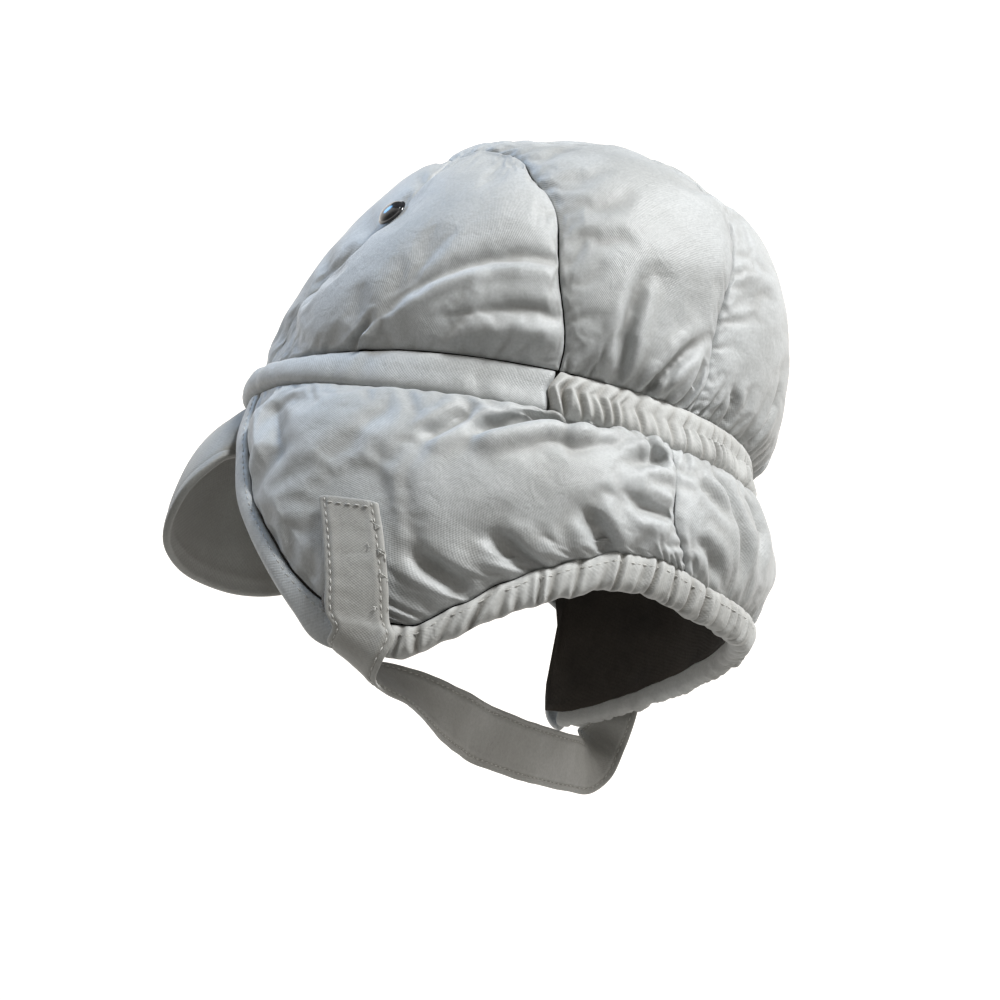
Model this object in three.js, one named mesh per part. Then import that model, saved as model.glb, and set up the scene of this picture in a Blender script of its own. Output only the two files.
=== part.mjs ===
import * as THREE from 'three';

// Padded ski cap with ear flaps, a visor and a chin strap.
// Millimetres, +Z up. The origin is the centre of the head band, the visor
// points to -Y and the wearer's left is +X. Angles round the head are in
// degrees from the middle of the front, positive towards the wearer's left.

// Driving dimensions
const PANEL_THICKNESS = 4;   // padded cloth at a seam
const SEAM_GAP = 0.9;          // between two panels, and between panel and casing
const CROWN_PUFF = 5;          // how far a crown panel swells past its seams
const SKIRT_PUFF = 5.5;          // the same for flaps and nape
const BAND_HALF_HEIGHT = 7;
const BAND_ROLL = 3;           // how far the casing round the head stands proud
const BAND_RUCHE = 0.6;        // how deep the gathers are behind the arched seams
const HEM_ROLL = 4;
const HEM_RUCHE = 0.7;
const HEM_GAP = 1.7;           // between the hem and the panels above it
const LINING_DEPTH = 5;      // from the seam level in to the lining's outer face
const LINING_THICKNESS = 1;
const VISOR_THICKNESS = 3.2;
const STRAP_WIDTH = 25;
const STRAP_THICKNESS = 1.8;
const SNAP_DIMPLE = { depth: 5, width: 13 };
const CROWN_SNAP_SEAT = 1.3;  // from the seam level out to the snap's back
const FLAP_SNAP_SEAT = 1.6;
const SWEEP_STEP = 3;          // degrees between the sections of a casing

// Outline of the cap at seam level, one row for each height
const SECTIONS = [
  { height: -118, side: 88, front: 114, back: 108 },
  { height: -95, side: 92, front: 117, back: 116 },
  { height: -65, side: 93, front: 117, back: 123 },
  { height: -35, side: 92, front: 116, back: 127 },
  { height: -12, side: 88, front: 111, back: 118 },
  { height: 0, side: 85, front: 108, back: 109 },
  { height: 10, side: 85, front: 105, back: 114 },
  { height: 20, side: 87, front: 101.5, back: 118.5 },
  { height: 38, side: 88, front: 95, back: 119.5 },
  { height: 64, side: 84, front: 83.5, back: 117 },
  { height: 92, side: 72, front: 66, back: 102 },
  { height: 111, side: 55, front: 45, back: 84 },
  { height: 120.5, side: 39, front: 25, back: 71 },
  { height: 125, side: 22, front: 3, back: 54 },
  { height: 126.5, side: 0, front: -25, back: 25 },
];

// Seams of the crown's left half, on the crown spread flat: mm from its top,
// to the left and to the back
const SNAP_SEAM = [[97, -145], [94, -122], [98, -98], [104, -75], [103, -56], [86, -45], [66, -42]];
const ARCH_SEAM = [[151, 86], [139, 67], [125, 48], [105, 27], [92, 8], [83, -4], [75, -18], [66, -42]];
const BACK_SEAM = [[82, 155], [75, 141], [64, 117], [51, 98], [40, 78]];
const TOP_SEAM = [[40, 78], [38, 45], [46, 8], [58, -22], [66, -42]];
const ARCH_TOP = [[66, -42], [36, -59], [0, -64], [-36, -59], [-66, -42]];
const CROWN_ANGLE = { snap: 33.8, arch: 119.7, back: 152.1 };   // where the seams reach the band

// Front edges of the flaps and the seams behind them: degrees from the front, and height
const LEFT_EDGE = [[35, -8], [43, -24], [50, -36], [57, -53], [65, -66], [74, -81], [82, -95], [90, -104],
  [100, -107.5]];
const LEFT_FACING_SEAM = [[43, -8], [50, -25], [57, -42], [64, -58], [72, -71], [80, -83], [89, -92],
  [100, -97]];
const RIGHT_EDGE = [[-35, -8], [-48, -18], [-64, -27], [-79, -38], [-88, -52], [-91, -70],
  [-92, -86], [-95, -101], [-100, -107]];
const RIGHT_FACING_SEAM = [[-43, -8], [-56, -15], [-70, -23], [-84, -34], [-92, -48], [-95, -68], [-97, -84],
  [-100, -97]];
const NAPE_SEAM = [[147, -8], [145, -33], [148, -43], [152, -53]];   // left; the right is its mirror

// Lower edge of the hem, and how tall the hem is there
const HEM_ENDS = 100.6;        // degrees from the front, on both sides
const HEM = [
  { angle: 90, left: -107, right: -107, tall: 8 },
  { angle: 106, left: -105, right: -106, tall: 10 },
  { angle: 113, left: -95, right: -102, tall: 11 },
  { angle: 118, left: -86, right: -98, tall: 12 },
  { angle: 124, left: -79, right: -94, tall: 13 },
  { angle: 130, left: -73, right: -89, tall: 13 },
  { angle: 136, left: -67, right: -85, tall: 13 },
  { angle: 145, left: -66, right: -79, tall: 13 },
  { angle: 160, left: -69, right: -72, tall: 12 },
  { angle: 180, left: -70, right: -70, tall: 12 },
];

// Dents of the crown on the same flat spread, from one end of the fold to the other
const CROWN_FOLDS = [
  { from: [168, -49], to: [148, -22], depth: 4, width: 9 },
  { from: [152, 8], to: [139, 58], depth: 3, width: 11 },
  { from: [150, 26], to: [128, 60], depth: 2.4, width: 9 },
  { from: [134, 116], to: [105, 82], depth: 4, width: 9 },
  { from: [115, 130], to: [84, 122], depth: 3.4, width: 8 },
  { from: [78, 157], to: [68, 146], depth: 3, width: 8 },
  { from: [-166, -40], to: [-146, -12], depth: 3.6, width: 9 },
  { from: [-150, 20], to: [-132, 66], depth: 3, width: 11 },
  { from: [-128, 118], to: [-102, 88], depth: 3.6, width: 9 },
];

// Dents of the flaps and the nape: degrees and height at both ends
const SKIRT_FOLDS = [
  { from: [106, -22], to: [130, -12], depth: 4, width: 8 },
  { from: [98, -26], to: [106, -12], depth: 3, width: 7 },
  { from: [127, -44], to: [136, -56], depth: 3.6, width: 8 },
  { from: [112, -58], to: [126, -68], depth: 3.6, width: 8 },
  { from: [101, -70], to: [113, -79], depth: 3, width: 8 },
  { from: [157, -18], to: [165, -46], depth: 4, width: 9 },
  { from: [180, -16], to: [176, -44], depth: 3.4, width: 9 },
  { from: [-108, -22], to: [-130, -13], depth: 3.6, width: 8 },
  { from: [-118, -50], to: [-128, -72], depth: 3.4, width: 9 },
  { from: [-158, -20], to: [-164, -50], depth: 3.6, width: 9 },
];

// Free edge of the visor's left half, from the middle to the corner
const VISOR_RIM = [[0, -125, -79], [23, -123, -77], [43, -117, -71], [57, -107, -60], [63, -96, -46],
  [58, -85, -32], [49, -77, -19]];
const VISOR_ROOT = { angle: 42.6, height: -9.4, depth: 1, sideDepth: 8.6 };
const VISOR_CROWN = 14;        // how far the visor bows outwards

// Run of the chin strap. On the flaps: degrees and height; between them: its
// middle line and the direction across it, from its first edge to its second
const STRAP_LEFT_TAB = [[88.3, -55], [91.5, -68], [94.8, -83], [97, -95]];
const STRAP_FREE_RUN = [
  { at: [98, 19, -106], across: [0.2, -0.85, -0.45] },
  { at: [92, 16, -113], across: [0.4, -0.8, -0.3] },
  { at: [83, 14, -113], across: [0.2, -1, 0.1] },
  { at: [70, 15, -113], across: [0, -1, 0] },
  { at: [56, 17, -114], across: [-0.1, -1, -0.2] },
  { at: [42, 19, -115], across: [-0.2, -0.9, -0.5] },
  { at: [29, 21, -117], across: [-0.1, -0.6, -0.8] },
  { at: [14, 23, -120], across: [0, -0.15, -1] },
  { at: [-12, 29, -123], across: [0, 0, -1] },
  { at: [-45, 39, -124], across: [0, 0, -1] },
  { at: [-75, 48, -122], across: [0, 0, -1] },
  { at: [-96, 53, -119], across: [0.3, -0.3, -1] },
  { at: [-102, 49, -109], across: [0, -0.8, -0.6] },
];
const STRAP_RIGHT_TAB = [[-115, -97], [-114, -84], [-113, -70], [-112, -55]];

// Snaps: on the crown's flat spread, and on the flaps by degrees and height
const CROWN_SNAP = [105, -52];
const FLAP_SNAPS = [[91.5, -90], [-103, -88]];
const SNAP_PROFILE = [[0, 0], [6.3, 0], [6.3, 1], [5.4, 2.3], [3.2, 3.1], [0, 3.4]];

const cloth = new THREE.MeshStandardMaterial({ color: 0xb4b7b5, roughness: 0.7, metalness: 0 });
const gatheredCloth = new THREE.MeshStandardMaterial({ color: 0xa9aaa6, roughness: 0.75, metalness: 0 });
const liningCloth = new THREE.MeshStandardMaterial({ color: 0x2d2824, roughness: 0.9, metalness: 0 });
const blackMetal = new THREE.MeshStandardMaterial({ color: 0x101012, roughness: 0.3, metalness: 0.6 });

// Surface of the cap at seam level

function between(a, b, c, d, s) {
  const curve = 2 * a - 5 * b + 4 * c - d;
  return 0.5 * (2 * b + (c - a) * s + curve * s * s + (3 * b - a - 3 * c + d) * s * s * s);
}

function outline(level) {
  const last = SECTIONS.length - 1;
  const i = THREE.MathUtils.clamp(Math.floor(level), 0, last - 1);
  const rows = [i - 1, i, i + 1, i + 2].map((k) => SECTIONS[THREE.MathUtils.clamp(k, 0, last)]);
  const value = (key) => between(...rows.map((row) => row[key]), level - i);
  return { height: value('height'), side: value('side'), front: value('front'), back: value('back') };
}

function pointAtLevel(angle, level) {
  const { height, side, front, back } = outline(level);
  const turn = THREE.MathUtils.degToRad(angle);
  const y = (back - front) / 2 - Math.cos(turn) * (back + front) / 2;
  return new THREE.Vector3(side * Math.sin(turn), y, height);
}

function levelOfHeight(height) {
  let low = 0;
  let high = SECTIONS.length - 1;
  for (let i = 0; i < 30; i += 1) {
    const middle = (low + high) / 2;
    if (outline(middle).height < height) low = middle;
    else high = middle;
  }
  return (low + high) / 2;
}

// Distance along the cloth from the crown's top to its lower edge, in steps
const CROWN_FOOT = BAND_HALF_HEIGHT + SEAM_GAP / 3;
const FLAT_RADIUS = 175;       // of the crown spread flat
const REACH_STEPS = 200;
const crownReach = [{ level: SECTIONS.length - 1, reach: 0 }];
for (let i = 1; i <= REACH_STEPS; i += 1) {
  const foot = levelOfHeight(CROWN_FOOT);
  const level = THREE.MathUtils.lerp(SECTIONS.length - 1, foot, i / REACH_STEPS);
  const before = crownReach[i - 1];
  const a = outline(before.level);
  const b = outline(level);
  crownReach.push({ level, reach: before.reach + Math.hypot(b.side - a.side, b.height - a.height) });
}

function levelOfReach(share) {
  const reach = share * crownReach[REACH_STEPS].reach;
  let i = crownReach.findIndex((row) => row.reach >= reach);
  if (i < 0) i = REACH_STEPS;
  if (i === 0) return crownReach[0].level;
  const a = crownReach[i - 1];
  const b = crownReach[i];
  return THREE.MathUtils.mapLinear(reach, a.reach, b.reach, a.level, b.level);
}

// A chart turns two numbers into a point: flat x and y on the crown, degrees
// and height on the skirt of flaps and nape
const crown = {
  at: (x, y) => {
    const level = levelOfReach(Math.min(Math.hypot(x, y) / FLAT_RADIUS, 1));
    return pointAtLevel(THREE.MathUtils.radToDeg(Math.atan2(x, -y)), level);
  },
  millimetres: [1, 1],
  middle: new THREE.Vector3(0, 5, 20),
};
const skirt = {
  at: (angle, height) => pointAtLevel(angle, levelOfHeight(height)),
  millimetres: [1.85, 1],      // of one degree, and of one unit of height
  middle: new THREE.Vector3(0, 5, -50),
};

function outwards(chart, a, b) {
  const stepA = 0.5 / chart.millimetres[0];
  const along = chart.at(a + stepA, b).sub(chart.at(a - stepA, b));
  const up = chart.at(a, b + 0.5).sub(chart.at(a, b - 0.5));
  const normal = along.cross(up).normalize();
  const out = chart.at(a, b).sub(chart.middle);
  return normal.dot(out) < 0 ? normal.negate() : normal;
}

function lifted(chart, a, b, distance) {
  return chart.at(a, b).addScaledVector(outwards(chart, a, b), distance);
}

// Closed meshes

function meshOf(name, positions, faces, material) {
  let volume = 0;
  for (const [a, b, c] of faces) {
    volume += positions[a].dot(new THREE.Vector3().crossVectors(positions[b], positions[c]));
  }
  const turned = volume < 0 ? faces.map(([a, b, c]) => [a, c, b]) : faces;
  const geometry = new THREE.BufferGeometry().setFromPoints(positions);
  geometry.setIndex(turned.flat());
  geometry.computeVertexNormals();
  const mesh = new THREE.Mesh(geometry, material);
  mesh.name = name;
  return mesh;
}

// A sheet with an outer and an inner face: nodes hold both points, cells list nodes
function sheet(name, nodes, cells, material) {
  const positions = nodes.map((node) => node.outer).concat(nodes.map((node) => node.inner));
  const inside = nodes.length;
  const faces = [];
  const edges = new Map();
  for (const cell of cells) {
    for (let i = 2; i < cell.length; i += 1) {
      faces.push([cell[0], cell[i - 1], cell[i]]);
      faces.push([cell[0] + inside, cell[i] + inside, cell[i - 1] + inside]);
    }
    cell.forEach((from, i) => {
      const to = cell[(i + 1) % cell.length];
      if (!edges.delete(`${to} ${from}`)) edges.set(`${from} ${to}`, [from, to]);
    });
  }
  for (const [from, to] of edges.values()) {
    faces.push([to, from, from + inside], [to, from + inside, to + inside]);
  }
  return meshOf(name, positions, faces, material);
}

// A rod through a row of sections with equal numbers of points
function rod(name, sections, material) {
  const count = sections[0].length;
  const positions = sections.flat();
  const faces = [];
  for (let i = 0; i + 1 < sections.length; i += 1) {
    for (let k = 0; k < count; k += 1) {
      const a = i * count + k;
      const b = i * count + (k + 1) % count;
      faces.push([a, b, b + count], [a, b + count, a + count]);
    }
  }
  const end = positions.length - count;
  for (let k = 2; k < count; k += 1) {
    faces.push([0, k, k - 1], [end, end + k - 1, end + k]);
  }
  return meshOf(name, positions, faces, material);
}

// Padded panels

// A side of a panel, from one share of a spline to another
function side(points, from = 0, to = 1) {
  const spline = new THREE.SplineCurve(points.map(([a, b]) => new THREE.Vector2(a, b)));
  return (share) => spline.getPointAt(THREE.MathUtils.lerp(from, to, share));
}

function patch(sides, u, v) {
  const { bottom, right, top, left } = sides;
  const across = bottom(u).multiplyScalar(1 - v).addScaledVector(top(u), v);
  const up = left(v).multiplyScalar(1 - u).addScaledVector(right(v), u);
  const low = bottom(0).multiplyScalar(1 - u).addScaledVector(bottom(1), u);
  const high = top(0).multiplyScalar(1 - u).addScaledVector(top(1), u);
  return across.add(up).sub(low.multiplyScalar(1 - v).addScaledVector(high, v));
}

function distanceToFold(fold, a, b, millimetres) {
  const [scaleA, scaleB] = millimetres;
  const start = new THREE.Vector2(fold.from[0] * scaleA, fold.from[1] * scaleB);
  const run = new THREE.Vector2(fold.to[0] * scaleA, fold.to[1] * scaleB).sub(start);
  const point = new THREE.Vector2(a * scaleA, b * scaleB).sub(start);
  const share = THREE.MathUtils.clamp(point.dot(run) / Math.max(run.lengthSq(), 1e-6), 0, 1);
  return point.addScaledVector(run, -share).length();
}

function dent(folds, chart, a, b) {
  return folds.reduce((sum, fold) => {
    const away = distanceToFold(fold, a, b, chart.millimetres) / fold.width;
    return sum + fold.depth * Math.exp(-away * away);
  }, 0);
}

function panel(name, chart, sides, shape, material = cloth) {
  const { across, up, puff, folds, width, tall } = shape;
  const insetU = SEAM_GAP / 2 / width;
  const insetV = SEAM_GAP / 2 / tall;
  const nodes = [];
  const cells = [];
  for (let j = 0; j <= up; j += 1) {
    for (let i = 0; i <= across; i += 1) {
      const u = i / across;
      const v = j / up;
      const { x, y } = patch(sides, insetU + u * (1 - 2 * insetU), insetV + v * (1 - 2 * insetV));
      const swell = Math.pow(16 * u * (1 - u) * v * (1 - v), 0.4);
      const rise = swell * Math.max(puff - dent(folds, chart, x, y), 0.2);
      nodes.push({ outer: lifted(chart, x, y, rise), inner: lifted(chart, x, y, -PANEL_THICKNESS) });
    }
  }
  for (let j = 0; j < up; j += 1) {
    for (let i = 0; i < across; i += 1) {
      const a = j * (across + 1) + i;
      cells.push([a, a + 1, a + across + 2, a + across + 1]);
    }
  }
  return sheet(name, nodes, cells, material);
}

const mirrored = (points) => points.map(([a, b]) => [-a, b]);

function crownFoot(from, to) {
  return (share) => {
    const turn = THREE.MathUtils.degToRad(THREE.MathUtils.lerp(from, to, share));
    return new THREE.Vector2(Math.sin(turn), -Math.cos(turn)).multiplyScalar(FLAT_RADIUS);
  };
}

const dimple = (at) => ({ from: at, to: at, ...SNAP_DIMPLE });
const snapDimples = [CROWN_SNAP, [-CROWN_SNAP[0], CROWN_SNAP[1]]].map(dimple);
const crownFolds = CROWN_FOLDS.concat(snapDimples);

function crownPanels() {
  const { snap, arch, back } = CROWN_ANGLE;
  const archSplit = 0.66;      // where the arched seam turns from a panel's side to its top
  const group = new THREE.Group();
  const fill = { puff: CROWN_PUFF, folds: crownFolds };
  const shape = (across, up, width, tall) => ({ across, up, width, tall, ...fill });
  const front = {
    bottom: crownFoot(-snap, snap),
    right: side(SNAP_SEAM),
    top: side([...ARCH_TOP].reverse()),
    left: side(mirrored(SNAP_SEAM)),
  };
  group.add(panel('crown_front_center', crown, front, shape(11, 9, 150, 110)));
  const rear = {
    bottom: crownFoot(back, 360 - back),
    right: side(mirrored([...BACK_SEAM, ...TOP_SEAM.slice(1)])),
    top: side(ARCH_TOP),
    left: side([...BACK_SEAM, ...TOP_SEAM.slice(1)]),
  };
  group.add(panel('crown_top_back', crown, rear, shape(9, 18, 120, 210)));
  for (const [word, sign] of [['left', 1], ['right', -1]]) {
    const own = (points) => (sign > 0 ? points : mirrored(points));
    const frontSide = {
      bottom: crownFoot(sign * snap, sign * arch),
      right: side(own(ARCH_SEAM), 0, archSplit),
      top: (share) => side(own(ARCH_SEAM), archSplit, 1)(1 - share),
      left: side(own(SNAP_SEAM)),
    };
    group.add(panel(`crown_front_${word}`, crown, frontSide, shape(11, 9, 160, 90)));
    const rearSide = {
      bottom: crownFoot(sign * arch, sign * back),
      right: side(own(BACK_SEAM)),
      top: (share) => side(own(TOP_SEAM))(1 - share),
      left: side(own(ARCH_SEAM)),
    };
    group.add(panel(`crown_side_${word}`, crown, rearSide, shape(8, 11, 100, 110)));
  }
  return group;
}

// Casings

function hemRow(angle) {
  const away = Math.abs(THREE.MathUtils.euclideanModulo(angle + 180, 360) - 180);
  const word = THREE.MathUtils.euclideanModulo(angle, 360) <= 180 ? 'left' : 'right';
  let i = HEM.findIndex((row) => row.angle >= away);
  if (i < 1) i = 1;
  const [a, b] = [HEM[i - 1], HEM[i]];
  const mix = (key) => THREE.MathUtils.mapLinear(away, a.angle, b.angle, a[key], b[key]);
  const low = mix(word);
  return { low, high: low + mix('tall') };
}

// Section of a casing: share of its half height, and share of its roll
const CASING_SECTION = [[-1, 0], [-0.65, 0.75], [0, 1], [0.65, 0.75], [1, 0]];

function casing(name, run, shape, material) {
  const { from, to, step, span } = run;
  const { roll, depth, ruche } = shape;
  const count = Math.round((to - from) / step);
  const sections = [];
  for (let i = 0; i <= count; i += 1) {
    const angle = THREE.MathUtils.lerp(from, to, i / count);
    const { low, high } = span(angle);
    const middle = (low + high) / 2;
    const half = (high - low) / 2;
    const proud = roll + (i % 2 === 0 ? ruche : -ruche);
    const outer = CASING_SECTION.map(([h, r]) => lifted(skirt, angle, middle + h * half, r * proud));
    const inner = [1, -1].map((h) => lifted(skirt, angle, middle + h * half, -depth));
    sections.push([...outer, ...inner]);
  }
  return rod(name, sections, material);
}

function casings() {
  const group = new THREE.Group();
  const { arch } = CROWN_ANGLE;
  const joint = 0.2;           // degrees, half the gap between the casing's two stretches
  const band = () => ({ low: -BAND_HALF_HEIGHT, high: BAND_HALF_HEIGHT });
  const front = { from: joint - arch, to: arch - joint, step: 2 * SWEEP_STEP, span: band };
  const back = { from: arch + joint, to: 360 - arch - joint, step: SWEEP_STEP, span: band };
  const hem = { from: HEM_ENDS, to: 360 - HEM_ENDS, step: SWEEP_STEP, span: hemRow };
  const smooth = { roll: BAND_ROLL, depth: PANEL_THICKNESS, ruche: 0 };
  const hemShape = { roll: HEM_ROLL, depth: LINING_DEPTH + LINING_THICKNESS, ruche: HEM_RUCHE };
  group.add(casing('head_band_front', front, smooth, cloth));
  group.add(casing('head_band_back', back, { ...smooth, ruche: BAND_RUCHE }, gatheredCloth));
  group.add(casing('hem_casing', hem, hemShape, gatheredCloth));
  return group;
}

// Flaps, nape and the strips along the flaps' front edges

function napeSeam(sign) {
  const last = NAPE_SEAM[NAPE_SEAM.length - 1];
  const foot = hemRow(sign * last[0]).high;
  const stretch = foot / last[1];
  return NAPE_SEAM.map(([angle, height], i) => [sign * angle, i === 0 ? height : height * stretch]).reverse();
}

const skirtDimples = FLAP_SNAPS.map(dimple);
const skirtFolds = SKIRT_FOLDS.concat(skirtDimples, SKIRT_FOLDS.filter((fold) => fold.from[0] === 180)
  .map((fold) => ({ ...fold, to: [360 - fold.to[0], fold.to[1]] })));

function skirtPanels() {
  const group = new THREE.Group();
  const fill = { puff: SKIRT_PUFF, folds: skirtFolds };
  const shape = (across, up, width, tall) => ({ across, up, width, tall, ...fill });
  const across = (from, to, height) => (share) => {
    const angle = THREE.MathUtils.lerp(from, to, share);
    return new THREE.Vector2(angle, height(angle));
  };
  const hemTop = (angle) => hemRow(angle).high + HEM_GAP;
  const bandFoot = () => -BAND_HALF_HEIGHT;
  const strips = [
    { word: 'left', sign: 1, edge: LEFT_EDGE, facingSeam: LEFT_FACING_SEAM },
    { word: 'right', sign: -1, edge: RIGHT_EDGE, facingSeam: RIGHT_FACING_SEAM },
  ];
  for (const { word, sign, edge, facingSeam } of strips) {
    const upwards = (points) => [...points].reverse();
    const rear = napeSeam(sign);
    const seam = [...facingSeam.slice(0, -1), [sign * HEM_ENDS, hemTop(sign * HEM_ENDS)]];
    const flap = {
      bottom: across(sign * HEM_ENDS, rear[0][0], hemTop),
      right: side(rear),
      top: across(seam[0][0], rear[rear.length - 1][0], bandFoot),
      left: side(upwards(seam)),
    };
    group.add(panel(`ear_flap_${word}`, skirt, flap, shape(17, 10, 190, 75)));
    const facing = {
      bottom: side([edge[edge.length - 1], seam[seam.length - 1]]),
      right: side(upwards(seam)),
      top: side([edge[0], seam[0]]),
      left: side(upwards(edge)),
    };
    group.add(panel(`face_facing_${word}`, skirt, facing,
      { across: 2, up: 10, width: 9, tall: 130, puff: 1, folds: [] }));
  }
  const left = napeSeam(1);
  const right = napeSeam(-1).map(([angle, height]) => [angle + 360, height]);
  const nape = {
    bottom: across(left[0][0], right[0][0], hemTop),
    right: side(right),
    top: across(left[left.length - 1][0], right[right.length - 1][0], bandFoot),
    left: side(left),
  };
  group.add(panel('nape_panel', skirt, nape, shape(10, 6, 130, 45)));
  return group;
}

// Lining: a dome down to the head band, and a skirt behind flaps and nape

function lining() {
  const columns = 32;
  const rows = [0.13, 0.26, 0.4, 0.53, 0.66, 0.77, 0.87, 0.95, 1].map((share) => share * FLAT_RADIUS);
  const skirtRows = 6;
  const openColumns = 4;       // on each side of the middle of the front
  const openAngle = 360 * openColumns / columns;
  const node = (chart, a, b) => ({
    outer: lifted(chart, a, b, -LINING_DEPTH), inner: lifted(chart, a, b, -LINING_DEPTH - LINING_THICKNESS),
  });
  const nodes = [node(crown, 0, 0)];
  const cells = [];
  const index = (row, column) => 1 + row * columns + THREE.MathUtils.euclideanModulo(column, columns);
  for (let row = 0; row <= rows.length; row += 1) {
    for (let column = 0; column < columns; column += 1) {
      const angle = 360 * column / columns;
      const turn = THREE.MathUtils.degToRad(angle);
      if (row === rows.length) nodes.push(node(skirt, angle, 0));
      else nodes.push(node(crown, rows[row] * Math.sin(turn), -rows[row] * Math.cos(turn)));
      if (row === 0) {
        cells.push([0, index(0, column), index(0, column + 1)]);
      } else {
        const [above, below] = [row - 1, row];
        cells.push([
          index(above, column), index(below, column),
          index(below, column + 1), index(above, column + 1),
        ]);
      }
    }
  }
  const middleOf = (edge, seam) => edge.map(([a, b], i) => {
    const share = i / (edge.length - 1);
    const { x, y } = side(seam)(share);
    return [(a + x) / 2, (b + y) / 2];
  });
  const wide = columns - 2 * openColumns;
  const leftEdge = middleOf(LEFT_EDGE, LEFT_FACING_SEAM);
  const rightEdge = middleOf(RIGHT_EDGE, RIGHT_FACING_SEAM);
  const trimmed = (edge, sign) => [[sign * openAngle, 0], ...edge.slice(1, -1), [sign * 100, -95]]
    .map(([angle, height]) => [angle < -1 ? angle + 360 : angle, height]).reverse();
  const sides = {
    bottom: (share) => {
      const angle = THREE.MathUtils.lerp(100, 260, share);
      return new THREE.Vector2(angle, hemRow(angle).high + 3.5);
    },
    right: side(trimmed(rightEdge, -1)),
    top: (share) => new THREE.Vector2(THREE.MathUtils.lerp(openAngle, 360 - openAngle, share), 0),
    left: side(trimmed(leftEdge, 1)),
  };
  const skirtIndex = (row, column) => (row === 0
    ? index(rows.length, column + openColumns)
    : 1 + (rows.length + 1) * columns + (row - 1) * (wide + 1) + column);
  for (let row = 1; row <= skirtRows; row += 1) {
    for (let column = 0; column <= wide; column += 1) {
      const { x, y } = patch(sides, column / wide, 1 - row / skirtRows);
      nodes.push(node(skirt, x, y));
      if (column < wide) {
        const above = [skirtIndex(row - 1, column), skirtIndex(row - 1, column + 1)];
        cells.push([above[0], skirtIndex(row, column), skirtIndex(row, column + 1), above[1]]);
      }
    }
  }
  return sheet('lining', nodes, cells, liningCloth);
}

function visor() {
  const across = 16;
  const out = 5;
  const rim = [...VISOR_RIM.slice(1).reverse().map(([x, y, z]) => [-x, y, z]), ...VISOR_RIM];
  const rimCurve = new THREE.CatmullRomCurve3(rim.map((p) => new THREE.Vector3(...p)));
  const middle = (u, v) => {
    const angle = VISOR_ROOT.angle * (2 * u - 1);
    const inwards = THREE.MathUtils.smoothstep(Math.abs(angle), 14, 29);
    const depth = THREE.MathUtils.lerp(VISOR_ROOT.depth, VISOR_ROOT.sideDepth, inwards);
    const root = lifted(skirt, angle, VISOR_ROOT.height, -depth);
    const bow = VISOR_CROWN * Math.sin(Math.PI * v) * Math.sin(Math.PI * u);
    return root.lerp(rimCurve.getPointAt(u), v).add(new THREE.Vector3(0, -0.8, 0.6).multiplyScalar(bow));
  };
  const step = 0.01;
  const nodes = [];
  const cells = [];
  for (let j = 0; j <= out; j += 1) {
    for (let i = 0; i <= across; i += 1) {
      const u = THREE.MathUtils.clamp(i / across, step, 1 - step);
      const v = j / out;
      const along = middle(u + step, v).sub(middle(u - step, v));
      const down = middle(u, v + step).sub(middle(u, v - step));
      const normal = along.cross(down).normalize().multiplyScalar(VISOR_THICKNESS / 2);
      if (normal.y > 0) normal.negate();
      nodes.push({ outer: middle(u, v).add(normal), inner: middle(u, v).sub(normal) });
      if (i < across && j < out) {
        const a = j * (across + 1) + i;
        cells.push([a, a + 1, a + across + 2, a + across + 1]);
      }
    }
  }
  return sheet('visor', nodes, cells, cloth);
}

function chinStrap() {
  const proud = SKIRT_PUFF + SEAM_GAP + STRAP_THICKNESS / 2;
  const onFlap = (points, sign) => points.map(([angle, height]) => ({
    at: lifted(skirt, angle, height, proud),
    across: skirt.at(angle - sign, height).sub(skirt.at(angle, height)).normalize(),
  }));
  const vector = (numbers) => new THREE.Vector3(...numbers);
  const free = STRAP_FREE_RUN.map((row) => ({ at: vector(row.at), across: vector(row.across) }));
  const rows = [...onFlap(STRAP_LEFT_TAB, 1), ...free, ...onFlap(STRAP_RIGHT_TAB, 1)];
  const run = new THREE.CatmullRomCurve3(rows.map((row) => row.at));
  const turn = new THREE.CatmullRomCurve3(rows.map((row) => row.across));
  const steps = 46;
  const sections = [];
  for (let i = 0; i <= steps; i += 1) {
    const t = i / steps;
    const tangent = run.getTangent(t);
    const across = turn.getPoint(t);
    across.setLength(STRAP_WIDTH / 2);
    const out = new THREE.Vector3().crossVectors(tangent, across).setLength(STRAP_THICKNESS / 2);
    const corner = (a, b) => run.getPoint(t).addScaledVector(across, a).addScaledVector(out, b);
    sections.push([corner(-1, -1), corner(1, -1), corner(1, 1), corner(-1, 1)]);
  }
  return rod('chin_strap', sections, cloth);
}

function snap(name, chart, [a, b], seat) {
  const profile = SNAP_PROFILE.map(([radius, height]) => new THREE.Vector2(radius, height));
  const mesh = new THREE.Mesh(new THREE.LatheGeometry(profile, 18), blackMetal);
  mesh.name = name;
  mesh.position.copy(lifted(chart, a, b, seat));
  mesh.quaternion.setFromUnitVectors(new THREE.Vector3(0, 1, 0), outwards(chart, a, b));
  return mesh;
}

const skiCap = new THREE.Group();
skiCap.add(crownPanels(), casings(), skirtPanels(), lining(), visor(), chinStrap());
skiCap.add(snap('crown_snap_left', crown, CROWN_SNAP, CROWN_SNAP_SEAT));
skiCap.add(snap('crown_snap_right', crown, mirrored([CROWN_SNAP])[0], CROWN_SNAP_SEAT));
skiCap.add(snap('flap_snap_left', skirt, FLAP_SNAPS[0], FLAP_SNAP_SEAT));
skiCap.add(snap('flap_snap_right', skirt, FLAP_SNAPS[1], FLAP_SNAP_SEAT));

export default skiCap;
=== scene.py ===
import bisect
import math
import random

import bmesh
import bpy
from mathutils import Matrix, Vector, noise
from mathutils.bvhtree import BVHTree


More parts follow.
